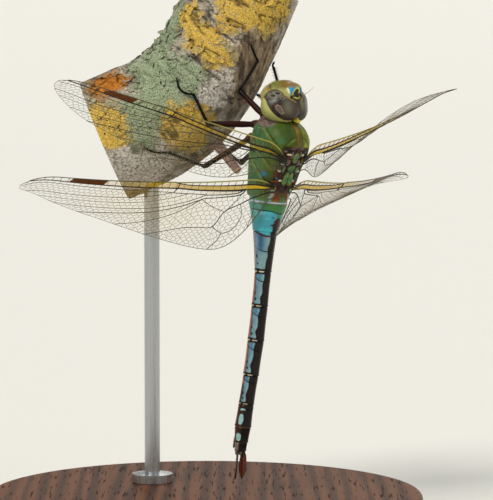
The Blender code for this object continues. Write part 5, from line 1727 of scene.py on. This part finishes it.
def buildLeg(pair, side):
    # thigh, shin and foot as one tube along the joints, two rows of spines, and two hooks at the toe
    knee, ankleAt, toeAt, facing = legs["courses"][pair, side]
    hand = hands[side]
    a, l, d = legs["hips"][pair.lower()]
    knee = np.array(knee)
    hip, inside = (inFrame(thoraxPlace, (a, hand * l, d + deep)) for deep in (0.0, 1.6))
    ankle = onBark(*ankleAt, facing, legs["ankleGap"])
    # the foot bows out to one side on its way to the toe
    run = np.array(toeAt) - ankleAt
    sag = np.array((-run[1], run[0])) / np.linalg.norm(run) * legs["bows"].get((pair, side), 0.0)
    steps = [np.array(ankleAt) + run * part + sag * (1 - (2 * part - 1) ** 2)
             for part in (0.2, 0.4, 0.6, 0.8, 1.0)]
    foot = [onBark(*step, facing, legs["toeGap"]) for step in steps]
    corners = np.array([inside, hip, knee, ankle, *foot])
    travelled = np.concatenate([[0], np.cumsum(np.linalg.norm(np.diff(corners, axis=0), axis=1))])
    marks = travelled[1:4]
    along = np.linspace(0, travelled[-1], legs["steps"])
    along = np.unique(np.concatenate([along, marks - 0.05, marks, marks + 0.05]))
    path = np.stack([np.interp(along, travelled, corners[:, k]) for k in range(3)], 1)
    # soften the corners by averaging with the neighbours
    for _ in range(legs["softening"]):
        path[1:-1] = (path[:-2] + 2 * path[1:-1] + path[2:]) / 4
    hipAt, kneeAt, ankleIs = marks
    thigh = (along - hipAt) / (kneeAt - hipAt)
    shin = (along - kneeAt) / (ankleIs - kneeAt)
    tarsus = (along - ankleIs) / (travelled[-1] - ankleIs)
    radii = np.where(thigh < 1, legs["thigh"] * np.interp(thigh, *legs["thighShape"]),
                     np.where(shin < 1, legs["shin"] * np.interp(shin, *legs["shinShape"]),
                              legs["foot"] * (0.8 + 0.2 * np.abs(np.cos(np.pi * 3 * tarsus)))))
    radii[-3:] *= (0.9, 0.75, 0.5)
    noise = roughness(path, 1.5, 3, 51)
    paint = Paint(legs, along.shape, "maroon")
    paint("hipTone", 0.7 * ease(0.1, 0, thigh))
    paint("black", ease(0.62, 0.95, thigh + 0.25 * (noise - 0.5)))
    finish = paintedFinish(f"legHorn{pair}{side.title()}", 0.4, 0.25, 0.03, 0.2, 0.0, 0.1)
    shapes = [tubeShape(path, radii, legs["sides"], paintMarks(paint.colours))]
    # spines: pairs along the thigh's last half and the whole shin, leaning towards the toe
    random = np.random.default_rng(len(pair) * 7 + hand)
    dark = paintMarks(Paint(legs, (), "black").colours)
    stretches = ((hip, knee, legs["thigh"] * 0.85, legs["spines"] - 6, 0.55),
                 (knee, ankle, legs["shin"] * 0.8, legs["spines"], 1.0))
    for start, end, middleRadius, count, share in stretches:
        heading = unit(end - start)
        across = unit(np.cross(heading, (0, 1, 0)))
        for turn in (1, -1):
            part = np.linspace(0.32 if share < 1 else 0.1, 0.95, count)[:, None]
            sideways = across * turn + np.cross(across, heading) * (0.5 * facing)
            roots = start + (end - start) * part + unit(sideways) * middleRadius * 0.6
            length = legs["spine"] * share * random.uniform(0.7, 1, (count, 1))
            tips = roots + unit(unit(sideways) + heading * 0.7) * length
            shapes.append(strutShape(roots, tips, 0.055, 0.015, 4, dark))
    toe, heading = path[-1], unit(path[-1] - path[-9])
    outwards = unit(toe - onBark(toe[0], toe[2], facing, 0) + (0, 1e-4 * facing, 0))
    across = unit(np.cross(heading, outwards))
    for turn in (1, -1):
        hook = [toe - heading * 0.1, toe + heading * 0.3 + across * turn * 0.22 + outwards * 0.05,
                toe + heading * 0.55 + across * turn * 0.34 - outwards * 0.1,
                toe + heading * 0.6 + across * turn * 0.36 - outwards * 0.33]
        hook = smoothCurve(hook, np.linspace(0, 1, 14))
        shapes.append(tubeShape(hook, np.linspace(0.09, 0.02, 14), 8, dark))
    nodes = [f"leg_{pair.lower()}_{side}_{part}" for part in ("femur", "tibia", "tarsus")]
    addPiece(f"leg{pair}{side.title()}", joined(shapes), finish, nodes)


for pair, side in legs["courses"]:
    buildLeg(pair, side)
print("legs built")
